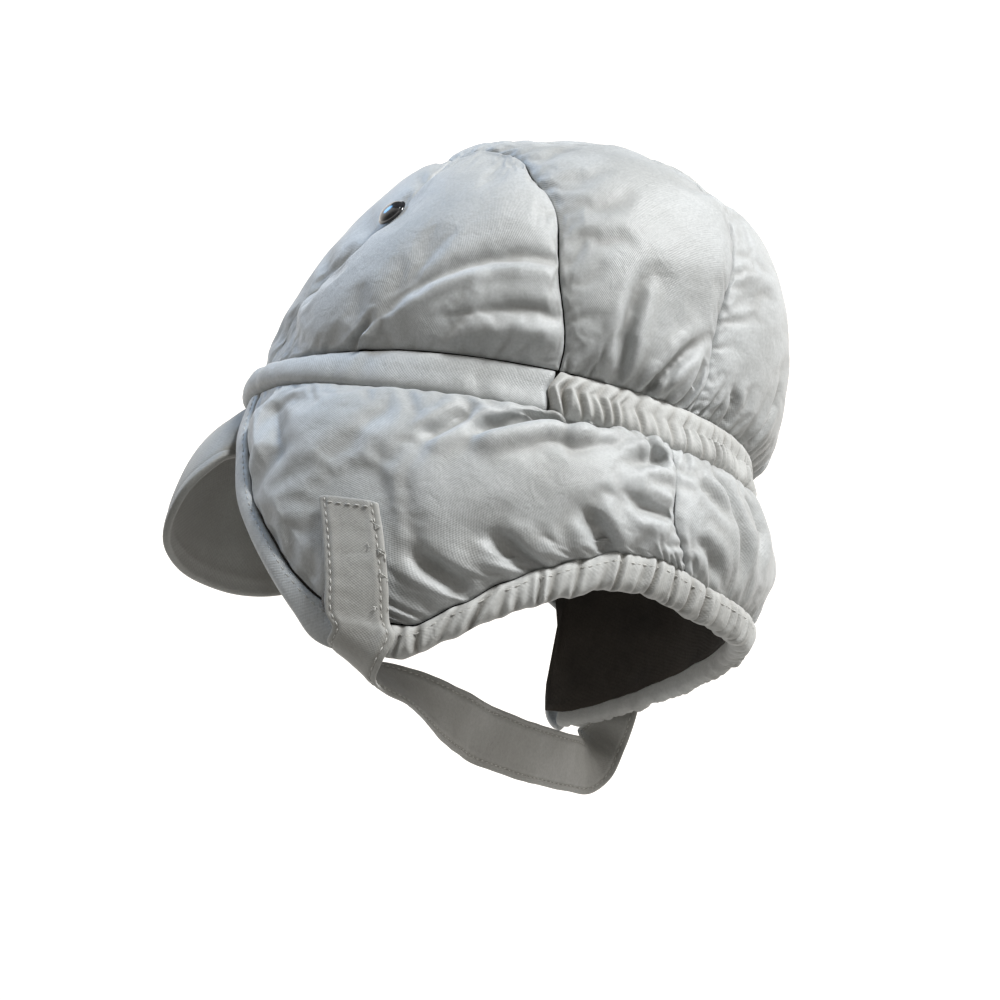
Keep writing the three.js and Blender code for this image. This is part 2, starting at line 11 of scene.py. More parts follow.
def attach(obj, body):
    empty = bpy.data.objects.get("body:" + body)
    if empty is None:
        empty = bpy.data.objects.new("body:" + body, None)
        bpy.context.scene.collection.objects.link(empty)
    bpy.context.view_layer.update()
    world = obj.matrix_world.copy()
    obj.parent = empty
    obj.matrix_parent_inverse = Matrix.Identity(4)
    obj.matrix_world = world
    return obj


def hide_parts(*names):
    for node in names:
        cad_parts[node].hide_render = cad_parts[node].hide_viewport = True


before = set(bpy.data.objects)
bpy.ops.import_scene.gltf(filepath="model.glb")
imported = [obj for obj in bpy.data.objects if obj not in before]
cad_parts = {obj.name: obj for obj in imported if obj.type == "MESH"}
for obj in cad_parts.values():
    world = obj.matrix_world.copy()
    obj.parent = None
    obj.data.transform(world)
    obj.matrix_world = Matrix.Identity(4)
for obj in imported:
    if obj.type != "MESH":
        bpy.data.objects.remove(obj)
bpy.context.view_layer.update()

mm = 0.001
print("ski cap: frame loaded")

# Camera, seen from behind the wearer's left side and a little below
cameraSettings = {
    "azimuth": 115.0, "elevation": -13.0, "roll": 12.8,
    "distance": 0.560, "focalPixels": 1292.0, "framePixels": 1000.0,
    "originPixel": (487.0, 445.0), "sensor": 36.0,
}


def placeCamera(s):
    azimuth, elevation, roll = (math.radians(s[k]) for k in ("azimuth", "elevation", "roll"))
    back = Vector((math.sin(azimuth) * math.cos(elevation),
                   -math.cos(azimuth) * math.cos(elevation), math.sin(elevation)))
    level = Vector((math.cos(azimuth), math.sin(azimuth), 0))
    above = back.cross(level)
    right = level * math.cos(roll) + above * math.sin(roll)
    up = above * math.cos(roll) - level * math.sin(roll)
    perPixel = s["distance"] / s["focalPixels"]
    across = (s["originPixel"][0] - s["framePixels"] / 2) * perPixel
    down = (s["originPixel"][1] - s["framePixels"] / 2) * perPixel
    place = back * s["distance"] - right * across + up * down
    data = bpy.data.cameras.new("camera")
    data.sensor_width = s["sensor"]
    data.lens = s["sensor"] * s["focalPixels"] / s["framePixels"]
    camera = bpy.data.objects.new("camera", data)
    bpy.context.scene.collection.objects.link(camera)
    turn = Matrix((right, up, back)).transposed().to_4x4()
    camera.matrix_world = Matrix.Translation(place) @ turn
    bpy.context.scene.camera = camera
    return right, back


viewRight, viewBack = placeCamera(cameraSettings)

# Outline of the cap at seam level in mm: height, half width, front, back
outlineRows = [
    (-118, 88, 114, 108), (-95, 92, 117, 116), (-65, 93, 117, 123), (-35, 92, 116, 127),
    (-12, 88, 111, 118), (0, 85, 108, 109), (10, 85, 105, 114), (20, 87, 101.5, 118.5),
    (38, 88, 95, 119.5), (64, 84, 83.5, 117), (92, 72, 66, 102), (111, 55, 45, 84),
    (120.5, 39, 25, 71), (125, 22, 3, 54), (126.5, 0, -25, 25),
]
lastRow = len(outlineRows) - 1
bandHalf = 7.0                 # half height of the head band, mm
bandNarrow = 3.0               # how much less that is at the front, mm
flatRadius = 175.0             # of the crown spread flat, mm
mergeDistance = 1e-6           # points closer than this become one, m


def clamp(value, low=0, high=1):
    return min(max(value, low), high)


def bell(x, width):
    return math.exp(-(x / width) ** 2)


def smoothRow(rows, position):
    # the smooth curve through some rows, at a position counted in rows
    last = len(rows) - 1
    i = clamp(int(position), 0, last - 1)
    s = position - i
    a, b, c, d = (rows[clamp(k, 0, last)] for k in (i - 1, i, i + 1, i + 2))
    return tuple(0.5 * (2 * q + (r - p) * s + (2 * p - 5 * q + 4 * r - t) * s * s
                        + (3 * q - p - 3 * r + t) * s ** 3) for p, q, r, t in zip(a, b, c, d))


def pointAtLevel(angle, level):
    height, side, front, back = smoothRow(outlineRows, level)
    turn = math.radians(angle)
    y = (back - front) / 2 - math.cos(turn) * (back + front) / 2
    return Vector((side * math.sin(turn), y, height)) * mm


levelSteps = 1400
levelTable = [lastRow * i / levelSteps for i in range(levelSteps + 1)]
heightTable = [smoothRow(outlineRows, level)[0] for level in levelTable]


def levelOfHeight(height):
    i = clamp(bisect.bisect_left(heightTable, height), 1, levelSteps)
    low, high = heightTable[i - 1], heightTable[i]
    share = clamp((height - low) / max(high - low, 1e-9))
    return levelTable[i - 1] + share * (levelTable[i] - levelTable[i - 1])


lowLevel = levelOfHeight(1.0)
reachSteps = 520
reachTable = [0.0]
for step in range(1, reachSteps + 1):
    here = smoothRow(outlineRows, lastRow + (lowLevel - lastRow) * step / reachSteps)
    before = smoothRow(outlineRows, lastRow + (lowLevel - lastRow) * (step - 1) / reachSteps)
    reachTable.append(reachTable[-1] + math.hypot(here[1] - before[1], here[0] - before[0]))
footShare = (lastRow - levelOfHeight(bandHalf)) / (lastRow - lowLevel) * reachSteps
footReach = reachTable[int(footShare)]


def levelOfReach(share):
    reach = share * footReach
    i = clamp(bisect.bisect_left(reachTable, reach), 1, reachSteps)
    part = (reach - reachTable[i - 1]) / max(reachTable[i] - reachTable[i - 1], 1e-9)
    return lastRow + (lowLevel - lastRow) * (i - 1 + part) / reachSteps


def crownPoint(x, y):          # mm on the crown spread flat, from its top
    level = levelOfReach(math.hypot(x, y) / flatRadius)
    return pointAtLevel(math.degrees(math.atan2(x, -y)), level)


def skirtPoint(angle, height):  # degrees from the front, and height in mm
    return pointAtLevel(angle, levelOfHeight(height))


crown = {"at": crownPoint, "mmOf": (1.0, 1.0), "middle": Vector((0, 5, 20)) * mm}
skirt = {"at": skirtPoint, "mmOf": (1.85, 1.0), "middle": Vector((0, 5, -50)) * mm}


def lifted(chart, a, b, rise):
    # a point of the chart, moved out from the surface by rise mm
    step = 0.6
    stepA = step / chart["mmOf"][0]
    at = chart["at"]
    along = at(a + stepA, b) - at(a - stepA, b)
    upwards = at(a, b + step) - at(a, b - step)
    out = along.cross(upwards).normalized()
    here = at(a, b)
    if out.dot(here - chart["middle"]) < 0:
        out.negate()
    return here + out * (rise * mm)


def evenRun(points, start=0.0, end=1.0, steps=200):
    # a smooth run through a few points, read by its share of length
    count = len(points) - 1
    samples, lengths = [], [0.0]
    for k in range(steps + 1):
        samples.append(smoothRow(points, count * k / steps))
        if k:
            lengths.append(lengths[-1] + math.dist(samples[-1], samples[-2]))

    def run(share):
        target = (start + (end - start) * share) * lengths[-1]
        i = clamp(bisect.bisect_left(lengths, target), 1, steps)
        low, high = lengths[i - 1], lengths[i]
        part = (target - low) / max(high - low, 1e-9)
        return tuple(p + (q - p) * part for p, q in zip(samples[i - 1], samples[i]))
    return run


def coons(sides, u, v):
    bottom, right, top, left = (sides[k] for k in ("bottom", "right", "top", "left"))
    values = []
    for k in range(2):
        across = bottom(u)[k] * (1 - v) + top(u)[k] * v
        upwards = left(v)[k] * (1 - u) + right(v)[k] * u
        low = bottom(0)[k] * (1 - u) + bottom(1)[k] * u
        high = top(0)[k] * (1 - u) + top(1)[k] * u
        values.append(across + upwards - low * (1 - v) - high * v)
    return values


def mirrored(points):
    return [(-a, b) for a, b in points]


# Seams, close to those in the CAD: on the crown in mm on its flat spread, and below the band
# in degrees from the front and height in mm
snapSeam = [(97, -145), (94, -122), (98, -98), (103, -75), (100, -55), (82, -39), (61, -34)]
archSeam = [(151, 86), (139, 67), (125, 48), (104, 29), (90, 12), (79, 2), (70, -12), (61, -34)]
backSeam = [(82, 155), (75, 141), (64, 117), (51, 98), (40, 78)]
topSeam = [(40, 78), (38, 45), (44, 10), (53, -15), (61, -34)]
archTop = [(61, -34), (34, -52), (0, -57), (-34, -52), (-61, -34)]
footAngles = {"snap": 33.8, "arch": 119.7, "back": 152.1}
leftEdge = [(35, -4.8), (42.5, -24), (49, -37), (56, -55), (64, -69), (73.4, -84), (82.2, -97.5),
            (89, -107), (100, -109.5)]
leftFacing = [(43, -4.8), (50, -25), (57, -42), (64, -58), (72, -71), (80, -83), (89, -92),
              (100.6, -95.5)]
rightEdge = [(-35, -4.8), (-48, -18), (-64, -27), (-81, -37), (-95, -52), (-96.5, -68),
             (-97.3, -86), (-100, -101), (-104, -107)]
rightFacing = [(-43, -4.8), (-56, -15), (-70, -23), (-87, -33), (-99.5, -48), (-101, -66),
               (-101.5, -84), (-104.6, -95.5)]
napeSeamRows = [(147, -7), (145, -33), (148, -43), (152, -53)]
# hem: degrees, lower edge on the left and on the right, and how tall it is
hemRows = [
    (90, -108, -107, 8), (106, -106.6, -106, 10.5), (113, -97, -102, 12), (118, -88, -98, 12.7),
    (124, -80.6, -94, 13.4), (130, -74, -89, 13.4), (136, -68, -85, 13.2), (145, -66, -79, 13),
    (160, -69, -72, 12), (180, -70, -70, 12),
]
hemEnds = 100.6
hemEndRight = 104.2


def hemSpan(angle):
    turn = (angle + 180) % 360 - 180
    away = abs(turn)
    side = 1 if turn >= 0 else 2
    i = next((k for k, row in enumerate(hemRows) if row[0] >= away), 1)
    i = max(i, 1)
    a, b = hemRows[i - 1], hemRows[i]
    share = (away - a[0]) / (b[0] - a[0])
    share = share * share * (3 - 2 * share) * 0.5 + share * 0.5
    low = a[side] + (b[side] - a[side]) * share
    return low, low + a[3] + (b[3] - a[3]) * share


def halfBand(angle):
    # the band narrows towards the front, where the puffed cloth closes over it
    away = abs((angle + 180) % 360 - 180)
    return bandHalf - bandNarrow * (1 - ramp(away, 48, 92))


def crownFoot(start, end):
    def run(share):
        angle = start + (end - start) * share
        turn = math.radians(angle)
        reach = flatRadius + bandHalf - halfBand(angle)
        return (reach * math.sin(turn), -reach * math.cos(turn))
    return run


def skirtLine(start, end, heightOf):
    def run(share):
        angle = start + (end - start) * share
        return (angle, heightOf(angle))
    return run


def ramp(x, low, high):
    s = clamp((x - low) / (high - low))
    return s * s * (3 - 2 * s)


def foldRise(folds, chart, a, b):
    # a fold's crease goes in by depth; its lips stand up to the left and right of it
    rise = 0.0
    ka, kb = chart["mmOf"]
    for fold in folds:
        best, side, share = 1e9, 0.0, 0.0
        path = fold["path"]
        spans = len(path) - 1
        for i in range(spans):
            px, py = path[i][0] * ka, path[i][1] * kb
            qx, qy = path[i + 1][0] * ka - px, path[i + 1][1] * kb - py
            x, y = a * ka - px, b * kb - py
            t = clamp((x * qx + y * qy) / max(qx * qx + qy * qy, 1e-9))
            away = math.hypot(x - t * qx, y - t * qy)
            if away < best:
                best, side, share = away, qx * y - qy * x, (i + t) / spans
        if best > fold["width"] * 6:
            continue
        start, end = fold["fade"]
        strength = ramp(share, -0.02, start) * (1 - ramp(share, 1 - end, 1.02))
        w = fold["width"]
        lip = fold["lip"][0 if side > 0 else 1]
        crease = math.exp(-(best / w) ** 1.1)
        shoulder = bell(best - 2.0 * w, 1.3 * w)
        rise += fold["depth"] * strength * (lip * shoulder - crease)
    return rise


def distanceTo(path, chart, a, b):
    ka, kb = chart["mmOf"]
    best = 1e9
    for (p, q), (r, t) in zip(path, path[1:]):
        dx, dy = (r - p) * ka, (t - q) * kb
        x, y = (a - p) * ka, (b - q) * kb
        share = clamp((x * dx + y * dy) / (dx * dx + dy * dy))
        best = min(best, math.hypot(x - share * dx, y - share * dy))
    return best


def distanceFrom(centre, chart, a, b):
    ka, kb = chart["mmOf"]
    return math.hypot((a - centre[0]) * ka, (b - centre[1]) * kb)


def within(s, share):
    # 1 inside the part of the edge that is gathered, less beyond it
    low, high = s.get("zone", (-1.0, 2.0))
    return 0.15 + 0.85 * ramp(share, low - 0.05, low + 0.1) * (1 - ramp(share, high - 0.1, high + 0.05))


def gather(spacing, depth, reach, width, **more):
    # puckers along an edge, all in mm
    return dict(spacing=spacing, depth=depth, reach=reach, width=width, **more)


def makePuckers(length, s, rng):
    rows = []
    at = rng.uniform(0, s["spacing"])
    while at < length:
        here = within(s, at / length)
        rows.append({
            "at": at,
            "lean": rng.uniform(-1, 1) * s.get("lean", 0.35),
            "reach": s["reach"] * (s["even"] if "even" in s else rng.choice((0.35, 0.5, 0.7, 1.0, 1.5)))
            * rng.uniform(0.8, 1.2),
            "width": s["width"] * rng.uniform(0.7, 1.4),
            "depth": s["depth"] * rng.uniform(0.35, 1.4) * here,
        })
        at += s["spacing"] * rng.uniform(0.45, 1.7)
    return rows


def puckerRise(rows, along, away):
    rise = 0.0
    for row in rows:
        if away > row["reach"]:
            continue
        offset = abs(along - row["at"] - row["lean"] * away)
        width = row["width"] * (1 + 1.2 * away / row["reach"])
        if offset > width * 4:
            continue
        fade = (1 - away / row["reach"]) ** 1.3
        crease = math.exp(-(offset / width) ** 1.6)
        shoulder = bell(offset - 2.0 * width, 1.2 * width)
        rise += row["depth"] * fade * (0.45 * shoulder - crease)
    return rise


def ripple(point, size, seed):
    return noise.noise(point / (size * mm) + Vector((seed, seed * 0.7, -seed)))


def newObject(name, bm, material):
    mesh = bpy.data.meshes.new(name)
    bm.to_mesh(mesh)
    bm.free()
    mesh.polygons.foreach_set("use_smooth", [True] * len(mesh.polygons))
    mesh.materials.append(material)
    obj = bpy.data.objects.new(name, mesh)
    bpy.context.scene.collection.objects.link(obj)
    return obj


def shareGrid(bm, across, upwards):
    # a grid whose vertices know their shares u and v
    bm.loops.layers.uv.new("cloth")
    bm.verts.layers.float.new("crease")
    bmesh.ops.create_grid(bm, x_segments=across, y_segments=upwards, size=0.5)
    bm.verts.index_update()
    return [(vert, vert.co.x + 0.5, vert.co.y + 0.5) for vert in bm.verts]


def addCoordinates(bm, coordinates, puckered):
    # UV in cm along the cloth, and how deep in a fold each vertex lies, which the cloth colour darkens as
    # painted shade
    layer = bm.loops.layers.uv["cloth"]
    crease = bm.verts.layers.float["crease"]
    for vert, value in puckered.items():
        vert[crease] = value
    for face in bm.faces:
        for loop in face.loops:
            loop[layer].uv = coordinates[loop.vert]


def subdivide(obj, levels=1):
    smooth = obj.modifiers.new("smooth", "SUBSURF")
    smooth.levels = smooth.render_levels = levels


def closeUp(bm):
    bmesh.ops.remove_doubles(bm, verts=bm.verts[:], dist=mergeDistance)
    bmesh.ops.recalc_face_normals(bm, faces=bm.faces[:])


def dress(obj, thickness, levels=1):
    wall = obj.modifiers.new("wall", "SOLIDIFY")
    wall.thickness = thickness
    wall.offset = -1
    wall.use_even_offset = False
    subdivide(obj, levels)


def crowded(share, amount):
    # more rows of vertices near both edges
    return share - amount * math.sin(2 * math.pi * share) / (2 * math.pi)


def buildPanel(name, chart, sides, s, material, seed):
    rng = random.Random(seed)
    width, tall = s["size"]
    puckers = {edge: makePuckers(tall if edge in ("left", "right") else width, g, rng)
               for edge, g in s.get("gathers", {}).items()}
    across = max(int(width / s["cell"]), 4)
    upwards = max(int(tall / s["cell"]), 4)
    bm = bmesh.new()
    coordinates, creases = {}, {}
    held, wide, late = {}, {}, {}
    for vert, gridU, gridV in shareGrid(bm, across, upwards):
        u, v = crowded(gridU, s["crowd"]), crowded(gridV, s["crowd"])
        a, b = coons(sides, u, v)
        away = {"left": u * width, "right": (1 - u) * width, "bottom": v * tall, "top": (1 - v) * tall}
        nearest = min(away.values())
        fill = (1 - math.exp(-min(away["left"], away["right"]) / s["soft"]))
        fill *= (1 - math.exp(-min(away["bottom"], away["top"]) / s["soft"]))
        seamDip = s["dip"] * bell(nearest, s["dipWidth"])
        marks = foldRise(s["folds"], chart, a, b)
        late[vert.index] = s["late"] * marks * (1 - bell(nearest, 2.5))
        for edge, rows in puckers.items():
            along = v * tall if edge in ("left", "right") else u * width
            marks += puckerRise(rows, along, away[edge])
        marks *= 1 - bell(nearest, 1.5) * 0.6
        for centre, depth, radius in s.get("dimples", ()):
            marks -= depth * bell(distanceFrom(centre, chart, a, b), radius)
        level = chart["at"](a, b)
        soft = s["ripple"] * (ripple(level, 30, seed) + 0.35 * ripple(level, 11, seed + 5))
        soft *= 1 - math.exp(-nearest / 6)
        bulge = s["bulge"] * (16 * u * (1 - u) * v * (1 - v)) ** 0.6
        rise = s["puff"] * fill + bulge - seamDip + marks + soft
        for centre, reach, height in s.get("swells", ()):
            rise += height * bell(distanceFrom(centre, chart, a, b), reach)
        pressed = 0.0
        for path, reach, height in s.get("pressed", ()):
            off = distanceTo(path, chart, a, b)
            share = 1 - ramp(off, reach - 1.5, reach + 3)
            rise += (min(rise, height) - rise) * share
            pressed = max(pressed, share)
        vert.co = lifted(chart, a, b, rise)
        coordinates[vert] = (u * width / 10, v * tall / 10)
        # how deep in a fold: the colour darkens there as painted shade
        creases[vert] = clamp(-marks / 3.0)
        held[vert.index] = 1.0 if nearest < 0.01 or pressed > 0.7 else max(
            pressed, clamp(-marks / 5.0 - 0.1, 0, s["keep"]))
        wide[vert.index] = max([0.0] + [
            min(g["depth"] / 2.2, 1) * math.exp(-away[edge] / g["reach"])
            * within(g, v if edge in ("left", "right") else u)
            for edge, g in s.get("gathers", {}).items()])
    addCoordinates(bm, coordinates, creases)
    obj = newObject(name, bm, material)
    print("panel", name, len(obj.data.polygons))
    if s["soften"]:
        softPanels.append((obj, held, wide, late, s))
    else:
        dress(obj, s["wall"] * mm)
    return obj


softPanels = []
simSettings = {
    "frames": 24, "mass": 0.05, "stretch": 14, "shear": 4, "bend": 0.2, "pressure": 3.2,
    "grow": -0.024, "gatherGrow": -0.48, "damping": 2.5, "out": 4.5, "in": 3.5,
    "hollow": 0.40,
}


def markHollows(obj, full):
    # how far each vertex lies below its neighbours, which the cloth colour darkens as painted shade in
    # its folds
    mesh = obj.data
    sums = [0.0] * len(mesh.vertices)
    counts = [0] * len(mesh.vertices)
    for edge in mesh.edges:
        a, b = edge.vertices
        step = mesh.vertices[b].co - mesh.vertices[a].co
        sums[a] += step.dot(mesh.vertices[a].normal)
        sums[b] -= step.dot(mesh.vertices[b].normal)
        counts[a] += 1
        counts[b] += 1
    values = [clamp(total / max(count, 1) / (full * mm)) for total, count in zip(sums, counts)]
    blurred = list(values)
    for edge in mesh.edges:
        a, b = edge.vertices
        blurred[a] += values[b] * 0.5
        blurred[b] += values[a] * 0.5
    layer = mesh.attributes["crease"].data
    for index, (value, count) in enumerate(zip(blurred, counts)):
        layer[index].value = min(value / (1 + 0.5 * count), 1)


def simulatePanels(s):
    # pressed out from inside, held at its seams and creases, with more cloth than its seams
    # have room for: that is what makes the puckers
    for obj, held, wide, late, own in softPanels:
        pins = obj.vertex_groups.new(name="held")
        extra = obj.vertex_groups.new(name="wide")
        for index, weight in held.items():
            if weight > 0:
                pins.add([index], weight, "REPLACE")
            extra.add([index], wide[index], "REPLACE")
        cloth = obj.modifiers.new("softness", "CLOTH")
        cloth.point_cache.frame_start, cloth.point_cache.frame_end = 1, s["frames"]
        c = cloth.settings
        c.quality = 4
        c.mass = s["mass"]
        c.tension_stiffness = c.compression_stiffness = s["stretch"]
        c.shear_stiffness = s["shear"]
        c.bending_stiffness = s["bend"]
        c.tension_damping = c.compression_damping = s["damping"]
        c.air_damping = 2
        c.use_pressure = True
        c.uniform_pressure_force = s["pressure"]
        c.vertex_group_mass = "held"
        c.vertex_group_shrink = "wide"
        c.shrink_min, c.shrink_max = s["grow"], s["gatherGrow"]
        c.effector_weights.gravity = 0
        cloth.collision_settings.use_collision = False
    scene = bpy.context.scene
    for frameNumber in range(1, s["frames"] + 1):
        scene.frame_set(frameNumber)
    deps = bpy.context.evaluated_depsgraph_get()
    for obj, held, wide, late, own in softPanels:
        moved = [v.co.copy() for v in obj.evaluated_get(deps).data.vertices]
        obj.modifiers.clear()
        for vert, there in zip(obj.data.vertices, moved):
            shift = there - vert.co
            out = shift.dot(vert.normal)
            limit = s["out"] if out > 0 else s["in"]
            if shift.length > limit * mm:
                shift *= limit * mm / shift.length
            vert.co += shift + vert.normal * (late[vert.index] * mm)
        obj.data.update()
        markHollows(obj, s["hollow"])
    scene.frame_set(1)
    for obj, held, wide, late, own in softPanels:
        obj.vertex_groups.clear()
        dress(obj, own["wall"] * mm)
    print("cloth simulated")


def buildTube(name, along, around, place, material, size):
    # a grid rolled up: place(share along, share around) gives a point, and how deep in a fold it lies for
    # the painted shade
    bm = bmesh.new()
    coordinates, creases = {}, {}
    for vert, u, v in shareGrid(bm, along, around):
        point, crease = place(u, v)
        vert.co = point
        coordinates[vert] = (u * size[0] / 10, v * size[1] / 10)
        creases[vert] = crease
    addCoordinates(bm, coordinates, creases)
    bmesh.ops.remove_doubles(bm, verts=bm.verts[:], dist=mergeDistance)
    bmesh.ops.holes_fill(bm, edges=[e for e in bm.edges if e.is_boundary], sides=0)
    bmesh.ops.recalc_face_normals(bm, faces=bm.faces[:])
    obj = newObject(name, bm, material)
    subdivide(obj)
    print("roll", name, len(obj.data.polygons))
    return obj


def addNode(tree, kind, x, y, **settings):
    node = tree.nodes.new(kind)
    node.location = (x, y)
    for key, value in settings.items():
        setattr(node, key, value)
    return node


def link(tree, source, target):
    tree.links.new(source, target)


def mathNode(tree, operation, x, y, first, second=None):
    node = addNode(tree, "ShaderNodeMath", x, y, operation=operation)
    for socket, value in zip(node.inputs, (first, second)):
        if value is None:
            continue
        if isinstance(value, (int, float)):
            socket.default_value = value
        else:
            link(tree, value, socket)
    return node.outputs[0]


def setInputs(node, values):
    for key, value in values.items():
        node.inputs[key].default_value = value


def noiseNode(tree, x, y, source, values):
    node = addNode(tree, "ShaderNodeTexNoise", x, y)
    setInputs(node, values)
    link(tree, source, node.inputs["Vector"])
    return node.outputs["Fac"]


def bumpNode(tree, x, y, source, target, strength, distance):
    bump = addNode(tree, "ShaderNodeBump", x, y)
    setInputs(bump, {"Strength": strength, "Distance": distance})
    link(tree, source, bump.inputs["Height"])
    link(tree, bump.outputs["Normal"], target)


def newMaterial(name):
    material = bpy.data.materials.new(name)
    material.use_nodes = True
    return material, material.node_tree, material.node_tree.nodes["Principled BSDF"]


def rampNode(tree, x, y, source, stops):
    node = addNode(tree, "ShaderNodeValToRGB", x, y)
    elements = node.color_ramp.elements
    while len(elements) < len(stops):
        elements.new(0.5)
    for element, (place, colour) in zip(elements, stops):
        element.position = place
        element.color = (*colour, 1)
    link(tree, source, node.inputs["Fac"])
    return node.outputs["Color"]


def makeWeaveGroup():
    # threads over and under each other, with slubs, and the crinkle of thin cloth
    group = bpy.data.node_groups.new("clothWeave", "ShaderNodeTree")
    face = group.interface
    for kind, way, names in (("Vector", "INPUT", ("Cloth", "Place")),
                             ("Float", "INPUT", ("Threads", "Crinkle")),
                             ("Float", "OUTPUT", ("Height", "Mottle", "Cloudy"))):
        for name in names:
            face.new_socket(name, in_out=way, socket_type=f"NodeSocket{kind}")
    enter = addNode(group, "NodeGroupInput", -900, 0)
    leave = addNode(group, "NodeGroupOutput", 900, 0)
    split = addNode(group, "ShaderNodeSeparateXYZ", -700, 200)
    link(group, enter.outputs["Cloth"], split.inputs[0])
    turns = mathNode(group, "MULTIPLY", -700, 60, enter.outputs["Threads"], math.pi)
    waves = []
    for k in range(2):
        phase = mathNode(group, "MULTIPLY", -520, 240 - 140 * k, split.outputs[k], turns)
        waves.append(mathNode(group, "SINE", -360, 240 - 140 * k, phase))
    weave = mathNode(group, "MULTIPLY", -200, 200, waves[0], waves[1])
    place = enter.outputs["Place"]
    slub = noiseNode(group, -520, -120, place, {"Scale": 900, "Detail": 3})
    crinkle = noiseNode(group, -520, -340, place,
                        {"Scale": 130, "Detail": 4, "Roughness": 0.55, "Distortion": 0.6})
    cloud = noiseNode(group, -520, -560, place, {"Scale": 22, "Detail": 5})
    woven = mathNode(group, "MULTIPLY", 0, 200, weave, 0.05)
    fuzzy = mathNode(group, "MULTIPLY", 0, 40, slub, 0.10)
    creased = mathNode(group, "MULTIPLY", 0, -120, crinkle, enter.outputs["Crinkle"])
    some = mathNode(group, "ADD", 200, 120, woven, fuzzy)
    height = mathNode(group, "ADD", 360, 60, some, creased)
    for source, key in ((height, "Height"), (slub, "Mottle"), (cloud, "Cloudy")):
        link(group, source, leave.inputs[key])
    return group


weaveGroup = makeWeaveGroup()


def makeCloth(name, s):
    material, tree, shader = newMaterial(name)
    place = addNode(tree, "ShaderNodeTexCoord", -1300, -200)
    cloth = addNode(tree, "ShaderNodeUVMap", -1300, 100, uv_map="cloth")
    weave = addNode(tree, "ShaderNodeGroup", -1050, 0, node_tree=weaveGroup)
    setInputs(weave, {"Threads": s["threads"], "Crinkle": s["crinkle"]})
    link(tree, cloth.outputs["UV"], weave.inputs["Cloth"])
    link(tree, place.outputs["Object"], weave.inputs["Place"])
    base = rampNode(tree, -800, 200, weave.outputs["Cloudy"],
                    [(0.32, s["dark"]), (0.5, s["colour"]), (0.68, s["light"])])
    grain = rampNode(tree, -800, -40, weave.outputs["Mottle"],
                     [(0.3, (s["grain"],) * 3), (0.7, (1, 1, 1))])
    grained = addNode(tree, "ShaderNodeMix", -520, 180, data_type="RGBA", blend_type="MULTIPLY")
    grained.inputs["Factor"].default_value = 1
    link(tree, base, grained.inputs["A"])
    link(tree, grain, grained.inputs["B"])
    # painted shade: the colour turns towards the fold colour where the crease attribute says the cloth
    # lies deep in a fold
    crease = addNode(tree, "ShaderNodeAttribute", -800, -280, attribute_name="crease")
    creaseShaded = addNode(tree, "ShaderNodeMix", -300, 180, data_type="RGBA", blend_type="MIX")
    creaseShading = mathNode(tree, "MULTIPLY", -520, -260, crease.outputs["Fac"], s["creaseShade"])
    link(tree, creaseShading, creaseShaded.inputs["Factor"])
    link(tree, grained.outputs["Result"], creaseShaded.inputs["A"])
    creaseShaded.inputs["B"].default_value = (*s["fold"], 1)
    link(tree, creaseShaded.outputs["Result"], shader.inputs["Base Color"])
    rough = mathNode(tree, "MULTIPLY_ADD", -300, -60, weave.outputs["Cloudy"], 0.25)
    rough.node.inputs[2].default_value = s["roughness"] - 0.12
    link(tree, rough, shader.inputs["Roughness"])
    bumpNode(tree, -300, -300, weave.outputs["Height"], shader.inputs["Normal"], s["bump"], 1.2 * mm)
    setInputs(shader, {"Specular IOR Level": s["specular"], "Sheen Weight": s["sheen"],
                       "Sheen Roughness": 0.45})
    return material


# fold is the painted shade colour in creases, and creaseShade is how strongly the creases take it
shellCloth = makeCloth("shellCloth", {
    "colour": (0.45, 0.465, 0.465), "dark": (0.37, 0.38, 0.375), "light": (0.52, 0.54, 0.545),
    "fold": (0.22, 0.21, 0.19), "grain": 0.84, "creaseShade": 0.5, "threads": 19, "crinkle": 0.7,
    "roughness": 0.50, "bump": 0.6, "specular": 0.5, "sheen": 0.12,
})
# a darker copy of the shell cloth, which is the same fabric: painted shade for the visor, whose underside
# lies in shade
visorShadeCloth = makeCloth("visorShadeCloth", {
    "colour": (0.28, 0.28, 0.265), "dark": (0.235, 0.23, 0.215), "light": (0.33, 0.335, 0.32),
    "fold": (0.15, 0.14, 0.12), "grain": 0.86, "creaseShade": 0.6, "threads": 14, "crinkle": 0.4,
    "roughness": 0.55, "bump": 0.5, "specular": 0.4, "sheen": 0.12,
})
gatheredCloth = makeCloth("gatheredCloth", {
    "colour": (0.475, 0.48, 0.465), "dark": (0.41, 0.41, 0.395), "light": (0.53, 0.54, 0.53),
    "fold": (0.23, 0.215, 0.19), "grain": 0.88, "creaseShade": 0.8, "threads": 16, "crinkle": 1.0,
    "roughness": 0.66, "bump": 0.5, "specular": 0.3, "sheen": 0.18,
})
strapCloth = makeCloth("strapCloth", {
    "colour": (0.40, 0.40, 0.38), "dark": (0.34, 0.335, 0.315), "light": (0.47, 0.47, 0.455),
    "fold": (0.22, 0.205, 0.18), "grain": 0.86, "creaseShade": 0.5, "threads": 20, "crinkle": 0.7,
    "roughness": 0.68, "bump": 0.5, "specular": 0.28, "sheen": 0.2,
})
liningCloth = makeCloth("liningCloth", {
    "colour": (0.046, 0.038, 0.030), "dark": (0.031, 0.026, 0.021), "light": (0.064, 0.054, 0.044),
    "fold": (0.012, 0.010, 0.009), "grain": 0.8, "creaseShade": 0.5, "threads": 12, "crinkle": 0.8,
    "roughness": 0.72, "bump": 0.6, "specular": 0.25, "sheen": 0.1,
})


